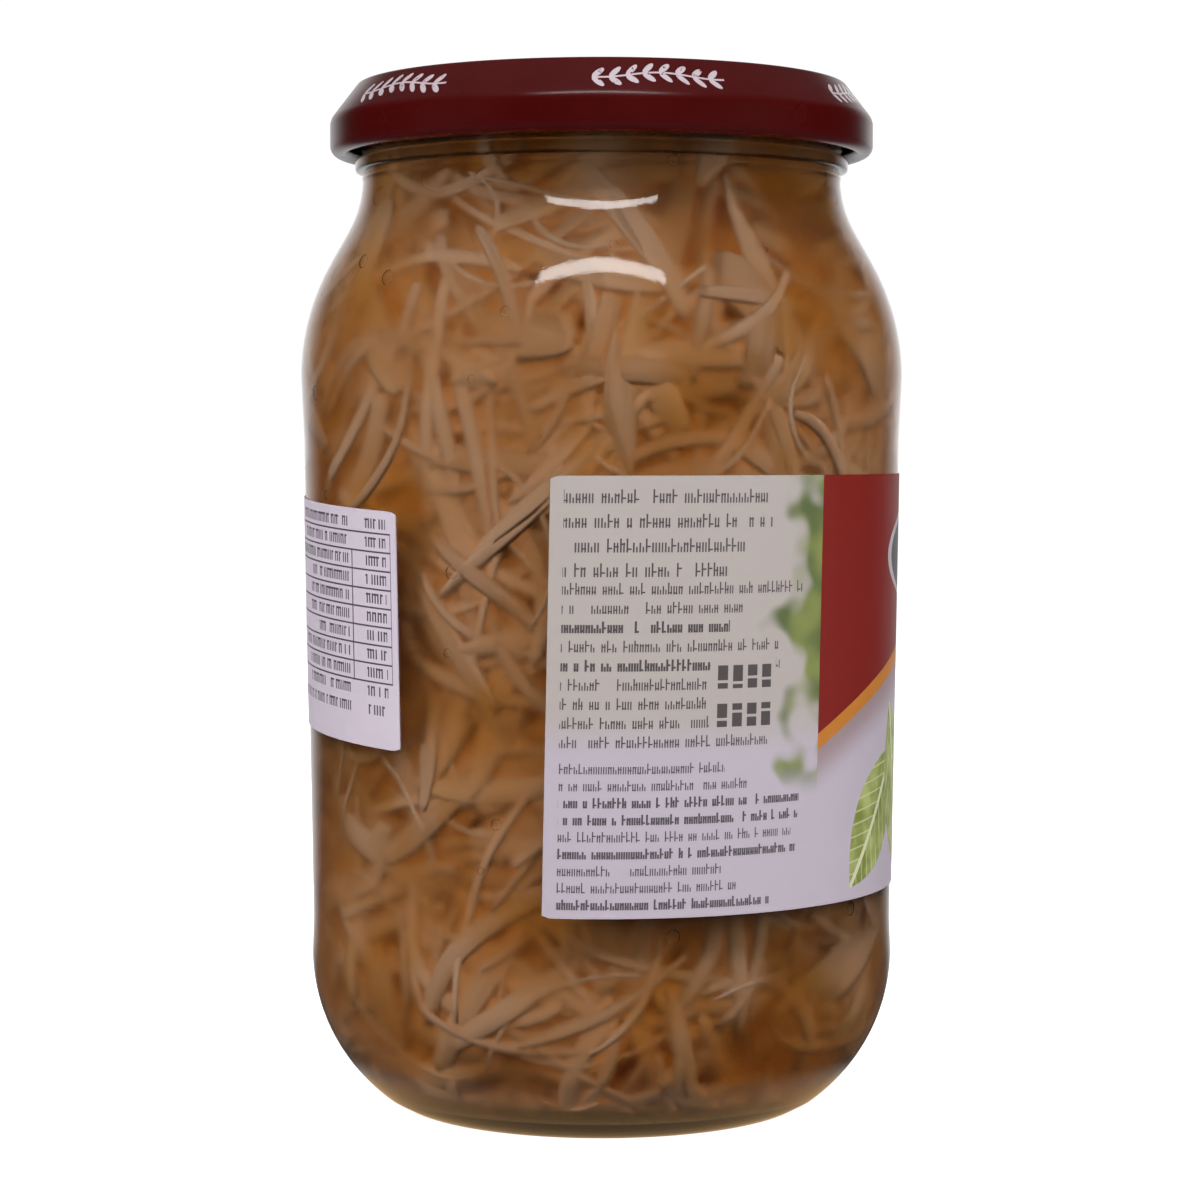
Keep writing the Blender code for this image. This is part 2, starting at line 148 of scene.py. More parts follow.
class Graph:
    """A node tree under construction."""

    def __init__(self, tree: bpy.types.NodeTree) -> None:
        """Start with an empty tree.

        Args:
            tree: the tree of a material or a world.
        """
        self.nodes = tree.nodes
        self.links = tree.links
        self.nodes.clear()

    @staticmethod
    def _socket(sockets: bpy.types.bpy_prop_collection, key: str | int) -> bpy.types.NodeSocket:
        """Find a socket.

        Args:
            sockets: a node's inputs or outputs.
            key: the socket's place, identifier or name.

        Returns:
            The socket.
        """
        if isinstance(key, int):
            return sockets[key]
        for socket in sockets:
            if socket.identifier == key:
                return socket
        return sockets[key]

    def node(
        self,
        kind: str,
        settings: Mapping[str, object] | None = None,
        inputs: Mapping[str | int, object] | None = None,
    ) -> bpy.types.Node:
        """Add a node.

        Args:
            kind: the node's type.
            settings: its own settings, set first.
            inputs: a value, Signal or socket for each named or numbered input.

        Returns:
            The node.
        """
        made = self.nodes.new(kind)
        for key, value in (settings or {}).items():
            setattr(made, key, value)
        for key, value in (inputs or {}).items():
            socket = self._socket(made.inputs, key)
            if isinstance(value, Signal):
                self.links.new(value.socket, socket)
            elif isinstance(value, bpy.types.NodeSocket):
                self.links.new(value, socket)
            elif isinstance(value, tuple) and socket.type == "RGBA":
                socket.default_value = (*value, 1.0)
            else:
                socket.default_value = value
        return made

    def signal(self, node: bpy.types.Node, key: str | int = 0) -> Signal:
        """An output of a node as a Signal."""
        return Signal(self, self._socket(node.outputs, key))

    def place(self) -> Signal:
        """The point on the piece in Object coordinates."""
        return self.signal(self.node("ShaderNodeTexCoord"), "Object")

    def sheet(self) -> tuple[Signal, Signal]:
        """The piece's own UV map.

        Returns:
            Millimetres across and up.
        """
        parts = self.node("ShaderNodeSeparateXYZ", None, {0: self.signal(self.node("ShaderNodeUVMap"))})
        scale = SHEET_UNIT / MM
        return self.signal(parts, 0) * scale, self.signal(parts, 1) * scale

    def split(self, vector: Signal) -> tuple[Signal, Signal, Signal]:
        """The three parts of a vector."""
        parts = self.node("ShaderNodeSeparateXYZ", None, {0: vector})
        return self.signal(parts, 0), self.signal(parts, 1), self.signal(parts, 2)

    def join(self, x: Signal | float, y: Signal | float, z: Signal | float = 0.0) -> Signal:
        """A vector of three parts."""
        return self.signal(self.node("ShaderNodeCombineXYZ", None, {0: x, 1: y, 2: z}))

    def cloud(
        self,
        where: Signal,
        scale: float,
        detail: float = 2.0,
        roughness: float = 0.5,
        distortion: float = 0.0,
    ) -> Signal:
        """Soft noise from nought to one.

        Args:
            where: the coordinates it follows.
            scale: how many clouds fit in one unit.
            detail: how many finer layers it has.
            roughness: how strong the finer layers are.
            distortion: how far it is stirred.

        Returns:
            The noise.
        """
        layers = {"Detail": detail, "Roughness": roughness, "Distortion": distortion}
        made = self.node("ShaderNodeTexNoise", None, {"Vector": where, "Scale": scale, **layers})
        return self.signal(made)

    def stretched(self, where: Signal, factors: Triple) -> Signal:
        """Coordinates scaled along each axis."""
        made = self.node("ShaderNodeVectorMath", {"operation": "MULTIPLY"}, {0: where, 1: factors})
        return self.signal(made)

    def chance(self, where: Signal) -> Signal:
        """A fixed random number from nought to one for each whole place."""
        made = self.node("ShaderNodeTexWhiteNoise", {"noise_dimensions": "3D"}, {"Vector": where})
        return self.signal(made, "Value")

    def mix(
        self, factor: Signal | float, low: Signal | Colour, high: Signal | Colour, blend: str = "MIX"
    ) -> Signal:
        """Blend two colours.

        Args:
            factor: share of the second colour.
            low: first colour.
            high: second colour.
            blend: how they are blended.

        Returns:
            The blended colour.
        """
        made = self.node(
            "ShaderNodeMix",
            {"data_type": "RGBA", "blend_type": blend},
            {"Factor_Float": factor, "A_Color": low, "B_Color": high},
        )
        return self.signal(made, "Result_Color")

    def bump(self, height: Signal, distance: float, strength: float = 1.0) -> Signal:
        """A normal bent by a height."""
        inputs = {"Height": height, "Distance": distance, "Strength": strength}
        return self.signal(self.node("ShaderNodeBump", None, inputs))

    def soft_normal(self, place: Signal, share: float) -> Signal:
        """A normal turned towards level and away from the axis, as light spread in flesh evens out.

        Args:
            place: Object coordinates.
            share: how far it is turned.

        Returns:
            The normal.
        """
        x, y, _ = self.split(place)
        level = self.node("ShaderNodeVectorMath", {"operation": "NORMALIZE"}, {0: self.join(x, y)})
        own = self.signal(self.node("ShaderNodeNewGeometry"), "Normal")
        mixed = self.node(
            "ShaderNodeMix",
            {"data_type": "VECTOR"},
            {"Factor_Float": share, "A_Vector": own, "B_Vector": self.signal(level)},
        )
        turned = self.signal(mixed, "Result_Vector")
        return self.signal(
            self.node("ShaderNodeVectorMath", {"operation": "NORMALIZE"}, {0: turned})
        )


class Surface(Graph):
    """A node material under construction."""

    def __init__(self, name: str) -> None:
        """Start an empty material.

        Args:
            name: the material's name.
        """
        self.material = bpy.data.materials.new(name)
        self.material.use_nodes = True
        super().__init__(self.material.node_tree)
        self.output = self.nodes.new("ShaderNodeOutputMaterial")

    def principled(self, **inputs: object) -> bpy.types.NodeSocket:
        """A Principled shader. An input's name has underscores for its spaces."""
        named = {key.replace("_", " "): value for key, value in inputs.items()}
        return self.node("ShaderNodeBsdfPrincipled", None, named).outputs[0]

    def finish(
        self, shader: bpy.types.NodeSocket, volume: bpy.types.NodeSocket | None = None
    ) -> bpy.types.Material:
        """Send a shader to the output.

        Args:
            shader: the surface's shader.
            volume: the shader of what it encloses.

        Returns:
            The material.
        """
        self.links.new(shader, self.output.inputs["Surface"])
        if volume is not None:
            self.links.new(volume, self.output.inputs["Volume"])
        return self.material

    def let_lamps_through(
        self, shader: bpy.types.NodeSocket, tint: Colour = WHITE
    ) -> bpy.types.NodeSocket:
        """Let lamps shine through a clear shader.

        Args:
            shader: the clear shader.
            tint: what the lamps' light is multiplied by.

        Returns:
            The shader that lets lamps through.
        """
        shadow = self.signal(self.node("ShaderNodeLightPath"), "Is Shadow Ray")
        open_way = self.node("ShaderNodeBsdfTransparent", None, {"Color": tint}).outputs[0]
        mixed = self.node("ShaderNodeMixShader", None, {0: shadow, 1: shader, 2: open_way})
        return mixed.outputs[0]


# Finishes.
@dataclass(frozen=True)
class ClearGlass:
    """Pressed clear glass with a faintly wavy skin."""

    tint: Colour = (0.975, 0.985, 0.975)
    shadow_tint: Colour = (0.98, 0.985, 0.98)
    roughness: float = 0.015
    wave_scale: float = 110.0
    wave_height: float = 0.02 * MM
    grain_scale: float = 2200.0
    grain_height: float = 0.0075 * MM

    def make(self) -> bpy.types.Material:
        """Build the material.

        Returns:
            The material.
        """
        surface = Surface("clear_glass")
        place = surface.place()
        waves = surface.cloud(place, self.wave_scale, 1.0)
        grain = surface.cloud(place, self.grain_scale)
        height = waves + grain * (self.grain_height / self.wave_height)
        shader = surface.principled(
            Base_Color=self.tint,
            Roughness=self.roughness,
            IOR=GLASS_IOR,
            Transmission_Weight=1.0,
            Normal=surface.bump(height, self.wave_height),
        )
        return surface.finish(surface.let_lamps_through(shader, self.shadow_tint))


@dataclass(frozen=True)
class WettedGlass:
    """The inner side of the glass, which hardly reflects because liquid wets it."""

    wave_scale: float = 90.0
    wave_height: float = 0.03 * MM

    def make(self) -> bpy.types.Material:
        """Build the material.

        Returns:
            The material.
        """
        surface = Surface("wetted_glass")
        waves = surface.cloud(surface.place(), self.wave_scale, 1.0)
        normal = surface.bump(waves, self.wave_height)
        inputs = {"Roughness": 0.0, "IOR": GLASS_IOR, "Normal": normal}
        shader = surface.node("ShaderNodeBsdfRefraction", None, inputs).outputs[0]
        return surface.finish(surface.let_lamps_through(shader))


@dataclass(frozen=True)
class Brine:
    """Amber liquid round the cabbage, cloudy enough to blur what lies deeper."""

    density: float = 68.0
    colour: Colour = (0.90, 0.578, 0.0)
    blur: float = 0.66
    ior: float = 1.34

    def make(self) -> bpy.types.Material:
        """Build the material.

        Returns:
            The material.
        """
        surface = Surface("brine")
        skin = {"Roughness": self.blur, "IOR": self.ior}
        shader = surface.node("ShaderNodeBsdfRefraction", None, skin).outputs[0]
        depth = {"Color": self.colour, "Density": self.density}
        amber = surface.node("ShaderNodeVolumeAbsorption", None, depth).outputs[0]
        return surface.finish(surface.let_lamps_through(shader), amber)


@dataclass(frozen=True)
class CabbageFlesh:
    """Wet fermented cabbage, pale by the glass and amber further in, the amber being painted shade that
    deepens with distance from the glass.
    """

    name: str
    # near is the cabbage's colour by the glass; far is painted shade, the darker amber that shreds deeper
    # in take on, reached at reach millimetres from the glass.
    near: Colour = (0.86, 0.51, 0.315)
    far: Colour = (0.79, 0.355, 0.075)
    shade: Colour = (0.62, 0.50, 0.36)
    shade_share: float = 0.45
    shadow_tint: Colour = (0.97, 0.90, 0.79)
    reach: float = 7.0
    evenness: float = 0.6
    streak_scales: Triple = (0.12, 2.2, 60.0)
    streak_depth: float = 0.3
    patch_scale: float = 42.0
    patch_depth: float = 0.45
    least_depth: float = 0.25
    roughness: float = 0.6
    ior: float = 1.05

    def make(self) -> bpy.types.Material:
        """Build the material.

        Returns:
            The material.
        """
        surface = Surface(self.name)
        fibre = surface.node("ShaderNodeAttribute", {"attribute_name": "fibre"})
        along, across, tone = surface.split(surface.signal(fibre, "Vector"))
        depth = surface.signal(surface.node("ShaderNodeAttribute", {"attribute_name": "depth"}), "Fac")
        length, width, change = self.streak_scales
        streaks = surface.cloud(surface.join(along * length, across * width, tone * change), 1.0)
        place = surface.place()
        patches = surface.cloud(place, self.patch_scale, 2.0, 0.5, 0.8).ease(0.45, 0.68)
        # Painted shade: the deeper a shred lies behind the glass, the more of the far colour it takes, as
        # if brine and neighbours shaded it; random streaks and patches add to it.
        painted_depth_shade_and_patches = depth / self.reach + streaks * self.streak_depth + patches * self.patch_depth
        colour = surface.mix((painted_depth_shade_and_patches - self.least_depth).ease(0.0, 1.0), self.near, self.far)
        shade = (tone * 0.5 + streaks * 0.5).ease(0.25, 0.8) * self.shade_share
        shader = surface.principled(
            Base_Color=surface.mix(shade, colour, self.shade, "MULTIPLY"),
            Roughness=self.roughness,
            IOR=self.ior,
            Normal=surface.soft_normal(place, self.evenness),
        )
        return surface.finish(surface.let_lamps_through(shader, self.shadow_tint))


@dataclass(frozen=True)
class PackedCabbage:
    """The mass of cabbage behind the shreds that show."""

    pale: Colour = (0.80, 0.37, 0.085)
    deep: Colour = (0.62, 0.245, 0.035)
    strand_scale: float = 110.0
    strand_squash: Triple = (1.0, 1.0, 1.8)
    strand_height: float = 0.6 * MM
    roughness: float = 0.6
    ior: float = 1.05

    def make(self) -> bpy.types.Material:
        """Build the material.

        Returns:
            The material.
        """
        surface = Surface("packed_cabbage")
        where = surface.stretched(surface.place(), self.strand_squash)
        strands = surface.cloud(where, self.strand_scale, 2.0, 0.5, 1.2)
        shader = surface.principled(
            Base_Color=surface.mix(strands.ease(0.32, 0.68), self.deep, self.pale),
            Roughness=self.roughness,
            IOR=self.ior,
            Normal=surface.bump(strands, self.strand_height, 0.5),
        )
        return surface.finish(shader)


@dataclass(frozen=True)
class RedLacquer:
    """Glossy dark red lacquer on tinplate, lightly scuffed, with printed sprigs."""

    base: Colour = (0.052, 0.0004, 0.0004)
    worn: Colour = (0.10, 0.006, 0.007)
    sprig: Colour = (0.50, 0.42, 0.46)
    sprig_z: float = 157.7
    sprig_radius: float = 41.0
    sprig_inner: float = 37.5 * MM
    sprigs: int = 6
    first_sprig: float = 12.0
    sprig_half: Pair = (10.0, 3.0)
    slant_stretch: float = 1.24
    sway: Triple = (0.36, 0.5, 0.2)
    sprig_width: float = 1.3
    leaf_pitch: float = 2.5
    leaf_cell: float = 1.92
    leaf_tilt: Pair = (0.70, 0.71)
    leaf_middle: float = 0.95
    leaf_size: Pair = (0.85, 0.13)
    twig_half: float = 0.13
    smear_scale: float = 55.0
    smear_share: float = 0.2
    speck_scale: float = 900.0
    speck_share: float = 0.4
    wear_scale: float = 1500.0
    roughness: Pair = (0.20, 0.12)
    ior: float = 1.4
    coat: Pair = (0.10, 0.15)
    speck_height: float = 0.010 * MM

    def _sprigs(self, surface: Surface, place: Signal) -> Signal:
        """Small leafy twigs printed round the slanted part of the lid.

        Args:
            surface: the material.
            place: Object coordinates.

        Returns:
            One on the print.
        """
        x, y, z = surface.split(place)
        turn = x.math("ARCTAN2", y * -1.0) * (180.0 / math.pi)
        pitch = 360.0 / self.sprigs
        along = (((turn - self.first_sprig) / pitch + 0.5).fraction() - 0.5) * math.radians(pitch)
        along = along * self.sprig_radius
        aside = (z * (1.0 / MM) - self.sprig_z) * self.slant_stretch
        pace, swing, drop = self.sway
        bend = abs((aside - (along * pace).math("COSINE") * swing + drop) / self.sprig_width)
        cell = (along / self.leaf_pitch).fraction() * self.leaf_cell
        cosine, sine = self.leaf_tilt
        leaf_along = cell * cosine + bend * sine - self.leaf_middle
        leaf_aside = bend * cosine - cell * sine
        long, wide = self.leaf_size
        leaf = leaf_along * leaf_along / long + leaf_aside * leaf_aside / wide
        twig = (leaf < 1.0).either(bend < self.twig_half)
        slant = x * x + y * y > self.sprig_inner**2
        return twig * (abs(along) < self.sprig_half[0]) * (abs(aside) < self.sprig_half[1]) * slant

    def make(self) -> bpy.types.Material:
        """Build the material.

        Returns:
            The material.
        """
        surface = Surface("red_lacquer")
        place = surface.place()
        smears = surface.cloud(place, self.smear_scale, 3.0, 0.6)
        specks = surface.cloud(place, self.speck_scale)
        colour = surface.mix(smears.ease(0.3, 0.8) * self.smear_share, self.base, self.worn)
        colour = surface.mix(specks.ease(0.72, 0.8) * self.speck_share, colour, self.worn)
        print_wear = surface.cloud(place, self.wear_scale).ease(0.25, 0.4)
        colour = surface.mix(self._sprigs(surface, place) * print_wear, colour, self.sprig)
        shader = surface.principled(
            Base_Color=colour,
            Roughness=smears * self.roughness[1] + self.roughness[0],
            IOR=self.ior,
            Coat_Weight=self.coat[0],
            Coat_Roughness=self.coat[1],
            Normal=surface.bump(specks, self.speck_height, 0.7),
        )
        return surface.finish(shader)


@dataclass(frozen=True)
class AirBubble:
    """Air caught in the brine."""

    ior: float = 0.88

    def make(self) -> bpy.types.Material:
        """Build the material.

        Returns:
            The material.
        """
        surface = Surface("air_bubble")
        inputs = {"Color": WHITE, "Roughness": 0.0, "IOR": self.ior}
        shader = surface.node("ShaderNodeBsdfGlass", None, inputs).outputs[0]
        return surface.finish(surface.let_lamps_through(shader))


@dataclass(frozen=True)
class Paper:
    """The fibres of a smooth printed paper."""

    scale: float
    mottle: float
    tint: Colour
    roughness: Pair
    relief: float
    ior: float = 1.45

    def finish(self, surface: Surface, flat: Signal, print_colour: Signal) -> bpy.types.Material:
        """Lay the print on the paper.

        Args:
            surface: the material.
            flat: coordinates on the sheet.
            print_colour: the print.

        Returns:
            The material.
        """
        fibres = surface.cloud(flat, self.scale, 3.0, 0.6)
        shade = (fibres - 0.5) * self.mottle + self.mottle / 2.0
        shader = surface.principled(
            Base_Color=surface.mix(shade, print_colour, self.tint, "MULTIPLY"),
            Roughness=fibres * self.roughness[1] + self.roughness[0],
            IOR=self.ior,
            Normal=surface.bump(fibres, self.relief, 0.5),
        )
        return surface.finish(shader)


@dataclass(frozen=True)
class WrapPrint:
    """Smooth label paper printed with plain fields, leaves and rows of small strokes."""

    white: Colour = (0.495, 0.435, 0.505)
    panel: Colour = (0.45, 0.40, 0.38)
    ink: Colour = (0.045, 0.036, 0.04)
    red: Colour = (0.215, 0.013, 0.009)
    gold: Colour = (0.53, 0.19, 0.025)
    leaf: Colour = (0.20, 0.24, 0.04)
    dark_leaf: Colour = (0.07, 0.115, 0.015)
    height: float = 64.3
    panel_end: float = 43.2
    front_end: float = 145.0
    margin: float = 2.0
    blocks: tuple[tuple[float, float, int, float], ...] = (
        (1.9, 3.55, 4, 1.18),
        (15.4, 2.78, 9, 1.0),
        (41.6, 2.48, 9, 0.9),
    )
    bold_from: float = 0.7
    gap_from: float = 0.84
    letter: float = 0.78
    letter_foot: float = 0.55
    letter_top: float = 1.75
    stroke: float = 0.26
    second_stroke: float = 0.74
    bolder: float = 0.14
    riser: float = 0.5
    bar_heights: Pair = (0.68, 0.95)
    bar_half: Pair = (0.10, 0.04)
    bar_width: float = 0.8
    row_end: Pair = (23.0, 17.0)
    figure_place: Pair = (25.0, 27.6)
    figure_pitch: Pair = (2.4, 5.6)
    figure_size: Pair = (0.66, 3.4)
    figure_notch: Triple = (0.6, 2.0, 0.2)
    figure_clear: tuple[Pair, Pair] = ((23.8, 34.6), (26.3, 36.8))
    ink_share: float = 0.9
    panel_fade: Pair = (34.0, 42.0)
    greens_fade: tuple[Pair, Pair] = ((27.0, 35.0), (42.0, 48.0))
    arch_foot: float = 38.5
    arch_rise: float = 14.0
    gold_width: float = 2.4
    arch_shadow: Colour = (0.20, 0.08, 0.05)
    arch_shadow_place: Pair = (2.6, 7.0)
    arch_shadow_share: float = 0.55
    pale_leaf: Colour = (0.42, 0.47, 0.16)
    vein: Colour = (0.62, 0.64, 0.42)
    leaves: tuple[tuple[Pair, Pair, float], ...] = (
        ((60.0, 12.0), (13.0, 6.5), 0.9),
        ((72.0, 15.0), (15.0, 7.0), 1.9),
        ((86.0, 11.5), (13.0, 6.0), 0.5),
        ((104.0, 13.5), (14.0, 6.5), 2.3),
        ((118.0, 12.0), (13.0, 6.0), 1.1),
        ((130.0, 9.0), (10.0, 4.6), 2.6),
    )
    side_veins: Pair = (5.0, 0.14)
    middle_vein: float = 0.07
    oval_down: float = 12.5
    oval_half: Pair = (30.0, 8.6)
    oval_edge: Colour = (0.46, 0.43, 0.46)
    oval_heart: Colour = (0.085, 0.075, 0.085)
    paper: Paper = Paper(9.0, 0.12, (0.9, 0.86, 0.9), (0.36, 0.12), 0.01 * MM)

    def _rows(
        self,
        surface: Surface,
        across: Signal,
        down: Signal,
        block: tuple[float, float, int, float],
    ) -> Signal:
        """Rows of small strokes, like print that is too small to read.

        Args:
            surface: the material.
            across: millimetres from the label's left edge.
            down: millimetres from its top.
            block: its first row's top, its pitch, its number of rows and its scale.

        Returns:
            One on the strokes.
        """
        first, pitch, count, scale = block
        shifted = (down - first) / pitch
        row = shifted.floor()
        height = shifted.fraction() * pitch / scale
        bold = surface.chance(surface.join(row, 7.0, first)) > self.bold_from
        letter = across / (self.letter * scale)
        column = letter.floor()
        inside = letter.fraction()
        draw = surface.chance(surface.join(column, row, 3.0 + first))
        gap = surface.chance(surface.join(column, row, 11.0 + first)) > self.gap_from
        tall = (draw > 0.7) * self.riser
        wide = bold * self.bolder
        stroke = (inside < wide + self.stroke) * (height > self.letter_foot - tall)
        second = (inside > 0.5) * (inside < wide + self.second_stroke) * (draw < 0.75)
        second = second * (height > self.letter_foot + (draw < 0.2) * self.riser)
        lowest, spread = self.bar_heights
        bar_place = surface.chance(surface.join(column, row, 29.0 + first)) * spread + lowest
        half, bolder = self.bar_half
        bar = (draw > 0.35) * (abs(height - bar_place) < bold * bolder + half) * (inside < self.bar_width)
        end = surface.chance(surface.join(row, 5.0, first)) * self.row_end[1] + self.row_end[0]
        ink = (stroke.either(second) * (height < self.letter_top)).either(bar) * (1.0 - gap)
        return ink * (across > self.margin) * (across < end) * row.within(-0.5, count - 0.5)

    def _text(self, surface: Surface, across: Signal, down: Signal) -> Signal:
        """All blocks of rows.

        Args:
            surface: the material.
            across: millimetres from the label's left edge.
            down: millimetres from its top.

        Returns:
            One on the strokes.
        """
        ink = self._rows(surface, across, down, self.blocks[0])
        for block in self.blocks[1:]:
            ink = ink.either(self._rows(surface, across, down, block))
        return ink

    def _figures(self, surface: Surface, across: Signal, down: Signal) -> Signal:
        """Two short rows of heavy strokes.

        Args:
            surface: the material.
            across: millimetres from the label's left edge.
            down: millimetres from its top.

        Returns:
            One on the strokes.
        """
        rows = (down - self.figure_place[1]) / self.figure_pitch[1]
        row = rows.floor()
        height = rows.fraction() * self.figure_pitch[1]
        columns = (across - self.figure_place[0]) / self.figure_pitch[0]
        column = columns.floor()
        lowest, spread, half = self.figure_notch
        notch = surface.chance(surface.join(column, row, 19.0)) * spread + lowest
        bar = (columns.fraction() < self.figure_size[0]) * (height < self.figure_size[1])
        bar = bar * (abs(height - notch) > half)
        return bar * row.within(-0.5, 1.5) * column.within(-0.5, 3.5)

    def _leaf(
        self,
        across: Signal,
        up: Signal,
        centre: Pair,
        size: Pair,
        turn: float,
    ) -> tuple[Signal, Signal]:
        """A plain pointed leaf.

        Args:
            across: millimetres from the label's left edge.
            up: millimetres from its foot.
            centre: the leaf's middle.
            size: half its length and half its width.
            turn: its angle from level in radians.

        Returns:
            One inside the leaf, and one on its middle and side veins.
        """
        dx = across - centre[0]
        dy = up - centre[1]
        along = (dx * math.cos(turn) + dy * math.sin(turn)) / size[0]
        aside = (dy * math.cos(turn) - dx * math.sin(turn)) / size[1]
        body = (along * along + abs(aside)) < 1.0
        pace, wide = self.side_veins
        side_veins = ((abs(aside) * 0.5 + along) * pace).fraction() < wide
        veins = (abs(aside) < self.middle_vein).either(side_veins * 0.6)
        return body, veins * body

    def make(self) -> bpy.types.Material:
        """Build the material.

        Returns:
            The material.
        """
        surface = Surface("printed_paper")
        across, up = surface.sheet()
        down = self.height - up
        flat = surface.join(across, up)

        # Text panel: warm grey above, white below, soft greens at its right.
        blur = surface.cloud(flat, 0.16, 1.0)
        colour = surface.mix(down.ease(*self.panel_fade), self.panel, self.white)
        greens = (surface.cloud(flat, 0.13, 1.0) + (across - 36.0) * 0.03).ease(0.50, 0.68)
        greens_left, greens_foot = self.greens_fade
        greens = greens * (1.0 - down.ease(*greens_foot)) * across.ease(*greens_left)
        green = surface.mix(blur.ease(0.35, 0.7), self.leaf, self.dark_leaf)
        colour = surface.mix(greens * 0.9, colour, green)
        ink = self._text(surface, across, down)
        sides, heights = self.figure_clear
        clear = 1.0 - across.within(*sides) * down.within(*heights)
        ink = (ink * clear).either(self._figures(surface, across, down))
        colour = surface.mix(ink * self.ink_share, colour, self.ink)

        # Front: red above a gold arch, white below.
        middle = (self.panel_end + self.front_end) / 2.0
        half = (self.front_end - self.panel_end) / 2.0
        reach = (across - middle) / half
        arch = self.arch_foot - (1.0 - reach * reach) * self.arch_rise
        front = across.within(self.panel_end, self.front_end)
        start, reach_down = self.arch_shadow_place
        shade = (down - arch - start).ease(0.0, reach_down)
        shadow = surface.mix(self.arch_shadow_share, self.white, self.arch_shadow)
        lower = surface.mix(shade, shadow, self.white)
        below = down > arch
        face = surface.mix(below, self.red, lower)
        face = surface.mix(below * (down < arch + self.gold_width), face, self.gold)

        # Generic leaves in the white field.
        for centre, size, turn in self.leaves:
            body, veins = self._leaf(across, up, centre, size, turn)
            shade = surface.cloud(surface.join(across, up, centre[0]), 0.22)
            paint = surface.mix(shade.ease(0.3, 0.7), self.pale_leaf, self.leaf)
            paint = surface.mix(veins, paint, self.vein)
            face = surface.mix(body, face, paint)

        # A plain pale oval with a dark heart on the red.
        wide = (across - middle) / self.oval_half[0]
        high = (down - self.oval_down) / self.oval_half[1]
        oval = wide * wide + high * high
        face = surface.mix(oval < 1.0, face, self.oval_edge)
        face = surface.mix(oval < 0.86, face, self.oval_heart)
        colour = surface.mix(front, colour, face)

        # Far side panel with its own rows.
        far = across > self.front_end
        far_rows = self._text(surface, across - self.front_end, down)
        far_face = surface.mix(far_rows * self.ink_share, self.white, self.ink)
        return self.paper.finish(surface, flat, surface.mix(far, colour, far_face))


@dataclass(frozen=True)
class StickerPrint:
    """White sticker paper with a small ruled table."""

    white: Colour = (0.62, 0.54, 0.63)
    ink: Colour = (0.04, 0.033, 0.045)
    table_right: float = 51.4
    divider: float = 42.3
    table_top: float = 32.2
    table_left: float = 2.0
    row: float = 2.78
    rows: int = 8
    rule: float = 0.26
    letter: float = 0.62
    letter_heights: Pair = (0.75, 2.25)
    word_lengths: Pair = (12.0, 16.0)
    figures_from: float = 3.4
    ink_share: float = 0.92
    paper: Paper = Paper(7.0, 0.10, (0.9, 0.88, 0.9), (0.42, 0.1), 0.012 * MM)

    def make(self) -> bpy.types.Material:
        """Build the material.

        Returns:
            The material.
        """
        surface = Surface("white_sticker")
        across, up = surface.sheet()
        depth = self.table_top - up
        rows = depth / self.row
        index = rows.floor()
        step = rows.fraction() * self.row
        in_table = depth.within(0.0, self.row * self.rows + 0.3)
        in_table = in_table * across.within(self.table_left, self.table_right)
        half_rule = self.rule / 2.0
        left = self.table_left + 0.1
        border = (abs(across - self.table_right) < half_rule).either(abs(across - left) < half_rule)
        uprights = (abs(across - self.divider) < half_rule) * (depth > self.row) + border
        lines = (in_table * (step < self.rule)).either(uprights * in_table)

        columns = across / self.letter
        draw = surface.chance(surface.join(columns.floor(), index, 3.0))
        shortest, spread = self.word_lengths
        length = surface.chance(surface.join(index, 9.0)) * spread + shortest
        words = (across > self.divider - length) * (across < self.divider - 1.0)
        figures = across.within(self.divider + self.figures_from, self.table_right - 1.0)
        strokes = (columns.fraction() < 0.5).either((draw > 0.4) * (abs(step - 0.95) < 0.14))
        strokes = strokes * step.within(*self.letter_heights) * (1.0 - (draw > 0.86))
        text = strokes * words.either(figures) * depth.within(-2.4, self.row * (self.rows + 2))
        colour = surface.mix(lines.either(text) * self.ink_share, self.white, self.ink)
        return self.paper.finish(surface, surface.join(across, up), colour)


